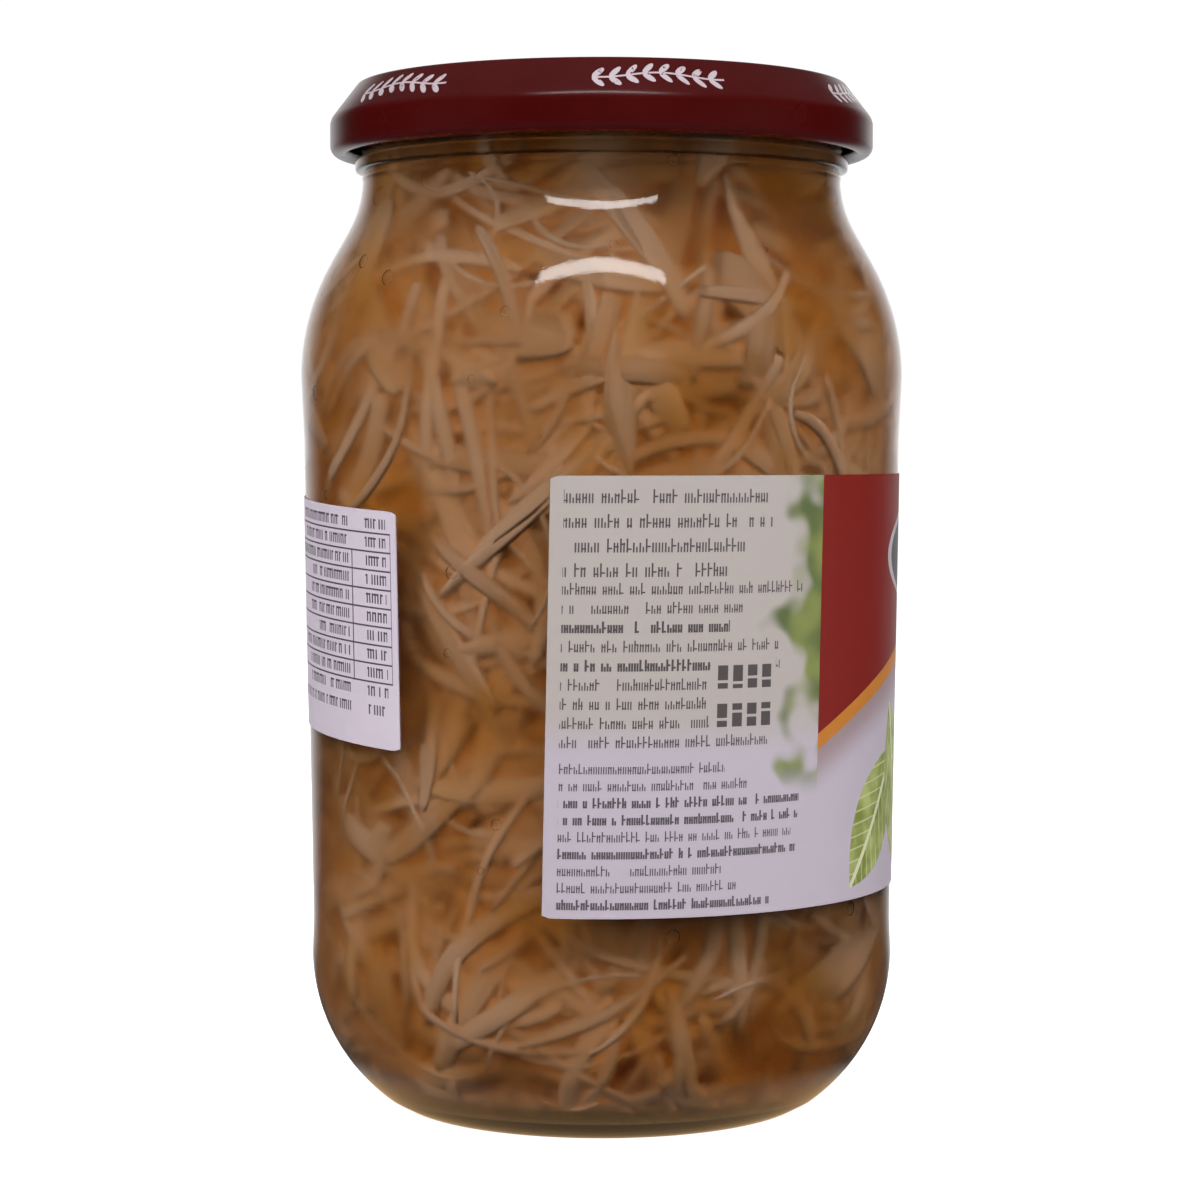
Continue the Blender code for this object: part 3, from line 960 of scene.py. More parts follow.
@dataclass(frozen=True)
class PaleFloor:
    """The studio's plain pale table, with a painted amber pool of light under the jar and a painted dark
    look in gloss.
    """

    colour: Colour = (0.86, 0.86, 0.86)
    grain_tint: Colour = (0.8, 0.8, 0.8)
    grain_scale: float = 60.0
    grain_share: float = 0.04
    roughness: float = 0.7
    # Painted shade: the floor's colour as glossy rays see it, so its reflections are dark.
    painted_dark_in_gloss: Colour = (0.02, 0.02, 0.02)
    # Colour of the painted pool of light under the jar.
    amber: Colour = (1.0, 0.62, 0.30)
    lit: float = 0.72
    lit_shown: float = 0.92
    dim: float = 0.015
    # Painted pool of light: how strongly the floor glows under the jar, as if light came through the jar,
    # for all but camera rays.
    painted_glow_under_jar: float = 0.60
    foot: Pair = (38.0 * MM, 48.0 * MM)
    clear_of_jar: Pair = (60.0 * MM, 120.0 * MM)

    def make(self) -> bpy.types.Material:
        """Build the material.

        Returns:
            The material.
        """
        surface = Surface("pale_floor")
        place = surface.place()
        grain = surface.cloud(place, self.grain_scale)
        x, y, _ = surface.split(place)
        reach = (x * x + y * y).math("SQRT") + 1.0 * MM
        behind = (y / reach).ease(*BACK_REACH) * reach.ease(*self.clear_of_jar)
        path = surface.node("ShaderNodeLightPath")
        seen = surface.signal(path, "Is Camera Ray")
        # Painted pool of light: an amber glow under the jar that the camera doesn't see.
        under = 1.0 - reach.ease(*self.foot)
        unseen = behind * (self.lit - self.dim) + under * self.painted_glow_under_jar
        glow = unseen * (1.0 - seen) + seen * (self.lit_shown - self.dim) + self.dim
        pale = surface.mix(grain * self.grain_share, self.colour, self.grain_tint)
        shader = surface.principled(
            # Glossy rays see the floor painted dark, a painted dark reflection.
            Base_Color=surface.mix(surface.signal(path, "Is Glossy Ray"), pale, self.painted_dark_in_gloss),
            Roughness=self.roughness,
            Emission_Color=surface.mix(
                glow, (0.0, 0.0, 0.0), surface.mix(under * (1.0 - seen), WHITE, self.amber)
            ),
            Emission_Strength=1.0,
        )
        return surface.finish(shader)


# Mesh helpers.
def arc(
    centre: Pair, radius: float, start: float, end: float, steps: int
) -> Outline:
    """Points along a circular arc, both ends included.

    Args:
        centre: the arc's centre (r, z).
        radius: its radius.
        start: first angle from +r towards +z.
        end: last angle.
        steps: how many chords it has.

    Returns:
        The points.
    """
    turns = [start + (end - start) * i / steps for i in range(steps + 1)]
    return [(centre[0] + radius * math.cos(a), centre[1] + radius * math.sin(a)) for a in turns]


def thickened(outline: Outline, longest: float) -> Outline:
    """An outline with points added so that no chord is longer than a limit.

    Args:
        outline: the points (r, z).
        longest: the limit.

    Returns:
        The fuller outline.
    """
    full = [outline[0]]
    for (r0, z0), (r1, z1) in zip(outline, outline[1:]):
        parts = max(1, math.ceil(math.hypot(r1 - r0, z1 - z0) / longest))
        full += [(r0 + (r1 - r0) * i / parts, z0 + (z1 - z0) * i / parts) for i in range(1, parts + 1)]
    return full


def spun(outline: Outline, steps: int) -> bmesh.types.BMesh:
    """Spin an outline of (r, z) points once round +Z.

    Args:
        outline: the points.
        steps: segments of the turn.

    Returns:
        A bmesh with outward normals.
    """
    bm = bmesh.new()
    verts = [bm.verts.new((0.0, -r, z)) for r, z in outline]
    edges = [bm.edges.new(pair) for pair in zip(verts, verts[1:])]
    bmesh.ops.spin(
        bm,
        geom=verts + edges,
        cent=(0.0, 0.0, 0.0),
        axis=(0.0, 0.0, 1.0),
        angle=math.tau,
        steps=steps,
        use_merge=True,
    )
    bmesh.ops.remove_doubles(bm, verts=bm.verts, dist=MERGE)
    bmesh.ops.recalc_face_normals(bm, faces=bm.faces)
    return bm


def piece_of(
    name: str, bm: bmesh.types.BMesh, material: bpy.types.Material, slot: Slot, sharp: float = 40.0
) -> bpy.types.Object:
    """Turn a bmesh into a smooth-shaded piece that rides on the jar.

    Args:
        name: the piece's name.
        bm: its bmesh, which is freed.
        material: its material.
        slot: the record's slot, passed on to dressed, which doesn't use it.
        sharp: edges that turn more than this many degrees stay sharp.

    Returns:
        The object.
    """
    mesh = bpy.data.meshes.new(name)
    bm.to_mesh(mesh)
    bm.free()
    mesh.shade_smooth()
    mesh.set_sharp_from_angle(angle=math.radians(sharp))
    return dressed(name, mesh, material, slot)


def dressed(
    name: str, mesh: bpy.types.Mesh, material: bpy.types.Material, slot: Slot
) -> bpy.types.Object:
    """Link a mesh as a piece that rides on the jar.

    Args:
        name: the piece's name.
        mesh: its mesh.
        material: its material.
        slot: the record's slot; not used.

    Returns:
        The object.
    """
    mesh.materials.append(material)
    piece = bpy.data.objects.new(name, mesh)
    bpy.context.scene.collection.objects.link(piece)
    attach(piece, BODY)
    LOG.info("%s: %d faces", name, len(mesh.polygons))
    return piece


def facing(angle: float) -> Vector:
    """Unit vector at an angle round +Z, from -Y towards +X."""
    return Vector((math.sin(angle), -math.cos(angle), 0.0))


# The jar.
@dataclass
class JarGlass:
    """The glass jar: an outer and an inner side joined over the rim."""

    steps: int = 180
    ring_inner: float = 30.4 * MM
    ring_outer: float = 32.4 * MM
    push_up: float = 2.6 * MM
    heel_radius: float = 46.05 * MM
    heel_arc: float = 28.5 * MM
    heel_start: float = 1.3 * MM
    heel_top: float = 24.0 * MM
    panel_low: Pair = (45.85 * MM, 29.5 * MM)
    panel_high: Pair = (47.0 * MM, 105.0 * MM)
    shoulder: Pair = (47.45 * MM, 114.5 * MM)
    shoulder_slopes: tuple[Pair, ...] = (
        *((114.5, 0.0), (118.5, 6.3), (122.5, 12.7), (126.0, 18.4), (128.8, 23.1)),
        *((131.0, 26.6), (133.0, 28.9), (135.0, 29.7), (136.6, 28.9), (138.1, 26.3)),
        *((139.5, 21.5), (141.2, 15.5), (143.0, 9.4), (144.8, 4.4), (146.3, 0.0)),
    )
    neck_radius: float = 37.6 * MM
    seam_z: float = 145.6 * MM
    seam: tuple[Pair, ...] = ((0.02, -0.35), (0.16, -0.1), (0.16, 0.1), (0.0, 0.35))
    bead_low: float = 146.6 * MM
    bead_high: float = 148.9 * MM
    bead_radius: float = 38.85 * MM
    wall: float = 2.4 * MM
    bore: float = 35.1 * MM
    floor: float = 3.7 * MM
    dome: float = 1.6 * MM
    rim: float = 0.8 * MM
    push_up_bend: Pair = (0.7, 0.8)
    ring_fillet: Pair = (1.2 * MM, 0.5 * MM)
    bead_steps: int = 9
    ridge_height: float = 1.3 * MM
    ridge_count: int = 6
    ridge_phase: float = math.radians(48.0)
    ridge_low: float = 151.7 * MM
    ridge_climb: float = 4.6 * MM
    ridge_half: float = 0.75 * MM
    run_height: float = 0.45 * MM
    run_low: float = 149.9 * MM
    run_climb: float = 1.6 * MM
    run_half: float = 0.6 * MM
    run_middle: float = 0.24
    ridge_from: float = 0.3
    ridge_ends: float = 8.0
    finish_chord: float = 0.4 * MM
    outer_chord: float = 2.0 * MM
    inner_chord: float = 3.0 * MM
    heel_steps: int = 28
    inner_heel_steps: int = 20
    shoulder_steps: int = 60
    inner_shoulder_steps: int = 30
    seam_clear: float = 0.5 * MM
    plain_rim: float = 1.0 * MM
    skin: float = 0.05 * MM
    wet_from: float = 0.2
    floor_from: float = 0.5
    top: float = 158.9 * MM
    finish: ClearGlass = field(default_factory=ClearGlass)
    wet_finish: WettedGlass = field(default_factory=WettedGlass)

    def panel_radius(self, z: float) -> float:
        """Outer radius of the cone that carries the labels."""
        (r0, z0), (r1, z1) = self.panel_low, self.panel_high
        return r0 + (r1 - r0) * (z - z0) / (z1 - z0)

    def shoulder_curve(self, inset: float, steps: int) -> Outline:
        """The shoulder's S from the widest line to the neck.

        Args:
            inset: how far it is moved in, square to the glass.
            steps: how many chords it has.

        Returns:
            The points.
        """
        heights, slopes = np.array(self.shoulder_slopes).T
        fine = np.linspace(heights[0], heights[-1], 400)
        slope = np.interp(fine, heights, np.radians(slopes))
        slope = np.convolve(np.pad(slope, 10, "edge"), np.ones(21) / 21.0, "valid")
        fall = np.concatenate(([0.0], np.cumsum(np.tan(slope[:-1]) * np.diff(fine)))) * MM
        fall *= (self.shoulder[0] - self.neck_radius) / fall[-1]
        at = np.linspace(0, len(fine) - 1, steps + 1).round().astype(int)
        r = self.shoulder[0] - fall[at] - inset * np.cos(slope[at])
        z = fine[at] * MM - inset * np.sin(slope[at])
        return list(zip(r.tolist(), z.tolist()))

    def outside(self) -> Outline:
        """The outer side from the middle of the base to the rim.

        Returns:
            The outline.
        """
        heel = (self.heel_radius - self.heel_arc, self.heel_top)
        heel_turn = -math.asin((self.heel_top - self.heel_start) / self.heel_arc)
        bead_middle = (self.bead_low + self.bead_high) / 2.0
        bead_half = (self.bead_high - self.bead_low) / 2.0
        bead_depth = self.bead_radius - self.neck_radius
        bead = [
            (
                self.neck_radius + bead_depth * max(0.0, 1.0 - abs(k / self.bead_steps) ** 6) ** 0.5,
                bead_middle + bead_half * k / self.bead_steps,
            )
            for k in range(-self.bead_steps, self.bead_steps + 1)
        ]
        seam = [(self.neck_radius + out * MM, self.seam_z + up * MM) for out, up in self.seam]
        shoulder = self.shoulder_curve(0.0, self.shoulder_steps)
        rim = self.rim
        bend_r, bend_z = self.push_up_bend
        return [
            (0.0, self.push_up),
            (self.ring_inner * bend_r, self.push_up * bend_z),
            (self.ring_inner - self.ring_fillet[0], self.ring_fillet[1]),
            (self.ring_inner, 0.0),
            (self.ring_outer, 0.0),
            *arc(heel, self.heel_arc, heel_turn, 0.0, self.heel_steps),
            self.panel_low,
            self.panel_high,
            *[p for p in shoulder if p[1] < self.seam_z - self.seam_clear],
            *seam,
            *bead,
            (self.neck_radius, self.top - rim),
            *arc((self.neck_radius - rim, self.top - rim), rim, 0.3, math.pi / 2.0, 4),
        ]

    def inside(self, inset: float = 0.0, lift: float = 0.0) -> Outline:
        """The inner side from the rim to the middle of the floor.

        Args:
            inset: how far it is moved in towards the axis.
            lift: how far its floor is raised.

        Returns:
            The outline.
        """
        wall = self.wall + inset
        heel = (self.heel_radius - self.heel_arc, self.heel_top)
        inner_arc = self.heel_arc - wall
        floor = self.floor + lift
        turn = -math.asin(min((self.heel_top - floor) / inner_arc, 0.97))
        return [
            (self.bore - inset, self.top - self.rim),
            (self.bore - inset, self.bead_low),
            *self.shoulder_curve(wall, self.inner_shoulder_steps)[-2::-1],
            (self.panel_high[0] - wall, self.panel_high[1]),
            (self.panel_low[0] - wall, self.panel_low[1]),
            *arc(heel, inner_arc, 0.0, turn, self.inner_heel_steps),
            (0.0, floor + self.dome),
        ]

    def _relief(self, angle: float, z: float) -> float:
        """How far the pressed threads and runs of glass stand out of the finish.

        Args:
            angle: angle round the jar.
            z: height.

        Returns:
            The height of the relief.
        """
        pitch = math.tau / self.ridge_count
        share = ((angle + self.ridge_phase) % pitch) / pitch
        low_end = max(0.0, 1.0 - ((share - self.run_middle) / self.run_middle) ** 2)
        run = math.exp(-(((z - self.run_low - share * self.run_climb) / self.run_half) ** 2)) * low_end
        climb = self.ridge_low + ((share - self.ridge_from) % 1.0) * self.ridge_climb
        ends = min(1.0, share * self.ridge_ends, (1.0 - share) * self.ridge_ends)
        thread = math.exp(-(((z - climb) / self.ridge_half) ** 4)) * ends
        return self.run_height * run + self.ridge_height * max(thread, 0.0)

    def build(self) -> None:
        """Build the jar in place of its CAD node."""
        outline = thickened(self.outside(), self.outer_chord)
        outline += thickened(self.inside(), self.inner_chord)
        finish_row = next(
            i
            for i, (r, z) in enumerate(outline)
            if z > self.bead_high and r > self.neck_radius - self.rim
        )
        outline[finish_row : finish_row + 1] = thickened(
            outline[finish_row - 1 : finish_row + 1], self.finish_chord
        )[1:]
        bm = spun(outline, self.steps)
        for vert in bm.verts:
            radius = math.hypot(vert.co.x, vert.co.y)
            if not self.bead_low <= vert.co.z <= self.top - self.plain_rim:
                continue
            if radius < self.neck_radius - self.skin:
                continue
            angle = math.atan2(vert.co.x, -vert.co.y)
            vert.co += facing(angle) * self._relief(angle, vert.co.z)
        for face in bm.faces:
            middle = face.calc_center_median()
            inward = -face.normal.dot(facing(math.atan2(middle.x, -middle.y)))
            floor = face.normal.z > self.floor_from and middle.z < self.floor + 2.0 * self.dome
            face.material_index = int(inward > self.wet_from or floor)
        piece = piece_of("jar_glass_shell", bm, self.finish.make(), Slot.GLASS)
        piece.data.materials.append(self.wet_finish.make())
        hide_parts("jar_glass")


@dataclass
class Lid:
    """The twist-off lid: pressed top, sloped shoulder, skirt and rolled curl."""

    steps: int = 180
    rim_radius: float = 38.9 * MM
    skirt_radius: float = 42.75 * MM
    knuckle_z: float = 153.8 * MM
    knuckle_radius: float = 2.6 * MM
    slant: float = 0.60
    curl_radius: float = 1.5 * MM
    sheet: float = 0.3 * MM
    step_radius: float = 33.0 * MM
    panel_drop: float = 0.9 * MM
    step_bends: Outline = field(
        default_factory=lambda: [(-0.3 * MM, 0.0), (0.5 * MM, 0.2 * MM), (1.4 * MM, 0.75 * MM)]
    )
    step_width: float = 2.2 * MM
    rim_round: float = 0.9 * MM
    rim_inset: float = 1.0 * MM
    rim_start: float = 1.4
    curl_turn: float = 1.3 * math.pi
    curl_inside: float = 1.1 * MM
    button_radius: float = 11.0 * MM
    button_drop: float = 0.3 * MM
    button_bends: Outline = field(
        default_factory=lambda: [(-2.0 * MM, -0.3 * MM), (-0.7 * MM, -0.08 * MM), (0.4 * MM, 0.0)]
    )
    seal_underside: float = 159.25 * MM
    seal_outline: Outline = field(
        default_factory=lambda: [(38.4 * MM, 0.1 * MM), (37.9 * MM, 0.0), (34.6 * MM, 0.0)]
    )
    thickness: float = 0.55 * MM
    chord: float = 4.0 * MM
    sharp: float = 50.0
    finish: RedLacquer = field(default_factory=RedLacquer)

    def _outline(self) -> Outline:
        """The closed section, from the middle of the top round the curl to the seal.

        Returns:
            The outline.
        """
        low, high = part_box("lid")
        top = high.z
        panel = top - self.panel_drop
        curl_z = low.z + self.curl_radius
        curl_r = self.skirt_radius - self.curl_radius
        knuckle = self.knuckle_radius
        rim_centre = (self.rim_radius - self.rim_inset, top - self.rim_round)
        return [
            (0.0, panel - self.button_drop),
            *[(self.button_radius + out, panel + up) for out, up in self.button_bends],
            *[(self.step_radius + out, panel + up) for out, up in self.step_bends],
            (self.step_radius + self.step_width, top),
            (self.rim_radius - self.rim_inset, top),
            *arc(rim_centre, self.rim_round, self.rim_start, self.slant, 5),
            *arc((self.skirt_radius - knuckle, self.knuckle_z), knuckle, self.slant, 0.0, 9),
            *arc((curl_r, curl_z), self.curl_radius, 0.0, -self.curl_turn, 16),
            (self.skirt_radius - self.sheet, curl_z + self.curl_inside),
            (self.skirt_radius - self.sheet, self.knuckle_z),
            *[(r, self.seal_underside + up) for r, up in self.seal_outline],
            (self.step_radius, panel - self.thickness),
            (0.0, panel - self.button_drop - self.thickness),
        ]

    def build(self) -> None:
        """Build the lid in place of its CAD node."""
        bm = spun(thickened(self._outline(), self.chord), self.steps)
        piece = piece_of("lid_shell", bm, self.finish.make(), Slot.LACQUER, self.sharp)
        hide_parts("lid")


# What fills the jar.
@dataclass(frozen=True)
class Drift:
    """A smooth made-up field over the inside of the glass, spread about nought by about one."""

    seed: int
    shortest: float
    waves: int = 16
    girth: float = math.tau * 44.0 * MM

    def at(self, theta: np.ndarray, along: np.ndarray) -> np.ndarray:
        """The field at places on the wall.

        Args:
            theta: angles round the jar.
            along: lengths along the wall from the top.

        Returns:
            The field's values.
        """
        rng = np.random.default_rng(self.seed)
        most = max(1, round(self.girth / self.shortest))
        total = np.zeros_like(theta)
        for _ in range(self.waves):
            turns = rng.integers(-most, most + 1)
            pace = rng.uniform(-1.0, 1.0) * math.tau / self.shortest
            total += np.sin(turns * theta + pace * along + rng.uniform(0.0, math.tau))
        return total / math.sqrt(self.waves / 2.0)


@dataclass(frozen=True)
class ShredKind:
    """One kind of cut shred: sizes in metres."""

    name: str
    count: int
    widths: Pair
    thickness: float
    lengths: Pair
    depths: Pair
    curl: float
    stray: float
    seed: int
    finish: CabbageFlesh
    steps: int = 14
    sides: int = 8


@dataclass
class Contents:
    """Cabbage, brine and air inside the glass."""

    glass: JarGlass
    top: float = 156.5 * MM
    clear: float = 0.12 * MM
    core_inset: float = 6.5 * MM
    core_lift: float = 4.0 * MM
    core_tops: Triple = (2.0 * MM, 2.5 * MM, 3.0 * MM)
    core_edge: float = 2.0 * MM
    core_relief: float = 2.0 * MM
    core_swirl: float = 7.0 * MM
    core_flatten: float = 1.6
    core_chord: float = 1.6 * MM
    core_steps: int = 150
    brine_chord: float = 4.0 * MM
    brine_reach: float = 0.2 * MM
    brine_steps: int = 180
    pocket_depth: float = 2.2 * MM
    pockets: Drift = Drift(31, 24.0 * MM)
    comb: Drift = Drift(32, 60.0 * MM, 9)
    bubble_count: int = 110
    wide_bubbles: int = 16
    bubble_seed: int = 21
    wide_sizes: Pair = (1.6 * MM, 3.6 * MM)
    wide_depth: float = 0.3 * MM
    wide_squash: Pair = (0.45, 0.8)
    round_size: float = 1.3 * MM
    round_depth: float = 0.45
    bubble_lift: float = 0.28 * MM
    bubble_lean: float = 0.5
    dent: float = 0.35
    dent_size: float = 3.0 * MM
    wall_step: float = 1.0 * MM
    foot_clear: float = 6.0 * MM
    probe: float = 1.5 * MM
    comb_turn: float = 1.7
    pocket_share: Pair = (0.5, 0.35)
    wave_height: float = 0.5 * MM
    wave_pace: float = 160.0
    tightest: float = 9.0 * MM
    wiggle: Triple = (0.25, 3.0, 0.9)
    twist: float = 0.4
    blunt: float = 0.18
    kinds: tuple[ShredKind, ...] = (
        ShredKind(
            *("leaf_pieces", 260, mm(5.0, 9.0), 1.6 * MM, mm(12.0, 32.0), mm(1.6, 4.6)),
            *(12.0, 0.9, 5, CabbageFlesh("cabbage_leaf")),
        ),
        ShredKind(
            *("broad_shreds", 830, mm(2.8, 5.6), 1.3 * MM, mm(16.0, 42.0), mm(1.3, 4.6)),
            *(18.0, 0.8, 6, CabbageFlesh("cabbage_broad")),
        ),
        ShredKind(
            *("cut_shreds", 1150, mm(1.3, 3.0), 1.0 * MM, mm(16.0, 44.0), mm(1.0, 4.2)),
            *(34.0, 0.8, 7, CabbageFlesh("cabbage_cut", near=(0.89, 0.54, 0.35)), 13, 6),
        ),
        ShredKind(
            *("packed_shreds", 800, mm(3.0, 6.5), 1.6 * MM, mm(14.0, 36.0), mm(3.2, 6.2)),
            *(30.0, 1.1, 9, CabbageFlesh("cabbage_packed")),
        ),
        ShredKind(
            *("fine_shreds", 260, mm(0.5, 1.0), 0.5 * MM, mm(14.0, 40.0), mm(0.7, 3.0)),
            *(65.0, 0.9, 8, CabbageFlesh("cabbage_fine", near=(0.92, 0.61, 0.43)), 14, 6),
        ),
    )

    def _wall(self) -> tuple[np.ndarray, np.ndarray, np.ndarray]:
        """The inner wall from the top down.

        Returns:
            Lengths along it, radii and heights.
        """
        outline = [p for p in thickened(self.glass.inside(), self.wall_step) if p[1] < self.top]
        r = np.array([p[0] for p in outline])
        z = np.array([p[1] for p in outline])
        steps = np.hypot(np.diff(r), np.diff(z))
        return np.concatenate(([0.0], np.cumsum(steps))), r, z

    def _paths(self, kind: ShredKind) -> dict[str, np.ndarray]:
        """Walk every shred of a kind along the wall.

        Args:
            kind: the kind of shred.

        Returns:
            Centre points, inward normals, depths, widths and tones, one row a shred.
        """
        rng = np.random.default_rng(kind.seed)
        length_at, r_at, z_at = self._wall()
        count, steps = kind.count, kind.steps
        reach = length_at[-1] - self.foot_clear
        theta = rng.uniform(0.0, math.tau, count)
        along = rng.uniform(1.0 * MM, reach, count)
        length = rng.uniform(*kind.lengths, count)
        depth = rng.uniform(*kind.depths, count)
        bend = rng.normal(0.0, kind.curl, count)
        phase = rng.uniform(0.0, math.tau, count)
        heading = self.comb_turn * self.comb.at(theta, along) + rng.normal(0.0, kind.stray, count)
        stride = length / steps
        centres = np.zeros((count, steps + 1, 3))
        normals = np.zeros((count, steps + 1, 3))
        depths = np.zeros((count, steps + 1))
        for k in range(steps + 1):
            r = np.interp(along, length_at, r_at)
            z = np.interp(along, length_at, z_at)
            dr, dz = (
                np.interp(along + self.probe, length_at, curve)
                - np.interp(along - self.probe, length_at, curve)
                for curve in (r_at, z_at)
            )
            size = np.hypot(dr, dz) + 1e-9
            inward_r, inward_z = dz / size, -dr / size
            spread, middle = self.pocket_share
            pocket = np.clip(self.pockets.at(theta, along) * spread + middle, 0.0, 1.0)
            ripple = self.wave_height * np.sin(phase + k * stride * self.wave_pace)
            wave = depth + self.pocket_depth * pocket + ripple
            wave = np.maximum(wave, self.clear + kind.thickness * 0.5)
            out = np.stack([np.sin(theta), -np.cos(theta)], axis=1)
            centres[:, k, :2] = out * (r + inward_r * wave)[:, None]
            centres[:, k, 2] = z + inward_z * wave
            normals[:, k, :2] = out * inward_r[:, None]
            normals[:, k, 2] = inward_z
            depths[:, k] = wave
            theta = theta + stride * np.cos(heading) / np.maximum(r, self.tightest)
            along = np.clip(along - stride * np.sin(heading), 0.5 * MM, reach)
            swing, offset, pace = self.wiggle
            wiggle = swing * np.sin(phase * offset + k * pace)
            heading = heading + bend * stride + wiggle * kind.curl * stride
        return {
            "centres": centres,
            "normals": normals,
            "depths": depths,
            "widths": rng.uniform(*kind.widths, count),
            "twists": rng.normal(0.0, self.twist, count),
            "tones": rng.uniform(0.0, 1.0, count),
            "strides": stride,
        }

    def _press_in(self, points: np.ndarray) -> np.ndarray:
        """Keep points inside the glass, as shreds lie flat where they meet it.

        Args:
            points: places, one a row.

        Returns:
            The places moved in.
        """
        _, r_at, z_at = self._wall()
        order = np.argsort(z_at)
        side = z_at[order] > self.glass.floor
        limit = np.interp(points[:, 2], z_at[order][side], r_at[order][side]) - self.clear
        radius = np.hypot(points[:, 0], points[:, 1])
        squeeze = np.minimum(1.0, limit / np.maximum(radius, MERGE))
        points[:, :2] *= squeeze[:, None]
        radius = np.hypot(points[:, 0], points[:, 1])
        floor_r = self.glass.inside()[-2][0]
        floor = self.glass.floor + self.glass.dome * np.clip(1.0 - radius / floor_r, 0.0, 1.0)
        points[:, 2] = np.clip(points[:, 2], floor + self.clear, self.top - self.clear)
        return points

    def _shreds(self, kind: ShredKind) -> None:
        """Join every shred of a kind in one mesh.

        Args:
            kind: the kind of shred.
        """
        paths = self._paths(kind)
        centres, normals = paths["centres"], paths["normals"]
        shape = (kind.count, kind.steps + 1, kind.sides)
        tangent = np.gradient(centres, axis=1)
        tangent /= np.linalg.norm(tangent, axis=2, keepdims=True) + 1e-12
        side = np.cross(tangent, normals)
        side /= np.linalg.norm(side, axis=2, keepdims=True) + 1e-12
        face = np.cross(side, tangent)
        share = np.linspace(0.0, 1.0, shape[1])
        twist = paths["twists"][:, None] * (share[None, :] - 0.5) * 2.0
        turned_side = side * np.cos(twist)[..., None] + face * np.sin(twist)[..., None]
        turned_face = face * np.cos(twist)[..., None] - side * np.sin(twist)[..., None]
        taper = np.sin(math.pi * np.clip(share, 0.015, 0.985)) ** self.blunt
        angle = math.tau * np.arange(kind.sides) / kind.sides
        wide = paths["widths"][:, None, None] / 2.0 * taper[None, :, None] * np.cos(angle)
        thick = kind.thickness / 2.0 * taper[None, :, None] * np.sin(angle)
        points = (
            centres[:, :, None, :]
            + turned_side[:, :, None, :] * wide[..., None]
            + turned_face[:, :, None, :] * thick[..., None]
        )
        points = self._press_in(points.reshape(-1, 3))
        index = np.arange(math.prod(shape)).reshape(shape)
        here, beyond = index[:, :-1], index[:, 1:]
        quads = np.stack(
            [here, np.roll(here, -1, 2), np.roll(beyond, -1, 2), beyond], axis=-1
        ).reshape(-1, 4)
        caps = np.concatenate([index[:, 0, ::-1], index[:, -1, :]])
        mesh = bpy.data.meshes.new(kind.name)
        mesh.from_pydata(points.tolist(), [], quads.tolist() + caps.tolist())
        along = (share * shape[1])[None, :, None] * paths["strides"][:, None, None] / MM
        fibre = np.stack(
            [
                np.broadcast_to(along, shape),
                np.broadcast_to(np.cos(angle), shape),
                np.broadcast_to(paths["tones"][:, None, None], shape),
            ],
            -1,
        )
        depth = np.broadcast_to(paths["depths"][:, :, None] / MM, shape)
        for name, kind_of, key, values in (
            ("fibre", "FLOAT_VECTOR", "vector", fibre),
            ("depth", "FLOAT", "value", depth),
        ):
            made = mesh.attributes.new(name, kind_of, "POINT")
            made.data.foreach_set(key, values.astype(np.float32).ravel())
        mesh.shade_smooth()
        dressed(kind.name, mesh, kind.finish.make(), Slot.CABBAGE)

    def _core(self) -> bpy.types.Object:
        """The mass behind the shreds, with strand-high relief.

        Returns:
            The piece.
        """
        crown, edge, side = self.core_tops
        inside = self.glass.inside(self.core_inset, self.core_lift)
        outline = [p for p in inside if p[1] < self.top - side]
        cap = [(0.0, self.top - crown), (outline[0][0] - self.core_edge, self.top - edge)]
        bm = spun(thickened(cap + outline, self.core_chord), self.core_steps)
        for vert in bm.verts:
            swirl = Vector((vert.co.x, vert.co.y, vert.co.z * self.core_flatten)) / self.core_swirl
            lift = noise.fractal(swirl, 0.6, 2.0, 3) * self.core_relief
            vert.co += Vector((vert.co.x, vert.co.y, 0.0)).normalized() * lift
        return piece_of("cabbage_core", bm, PackedCabbage().make(), Slot.CABBAGE, 180.0)

    def _brine(self) -> None:
        """The liquid, which reaches just into the glass."""
        inside = self.glass.inside(-self.brine_reach, -self.brine_reach)
        outline = thickened([p for p in inside if p[1] < self.top], self.brine_chord)
        bm = spun([(0.0, self.top), (outline[0][0], self.top), *outline], self.brine_steps)
        piece_of("brine", bm, Brine().make(), Slot.CABBAGE)

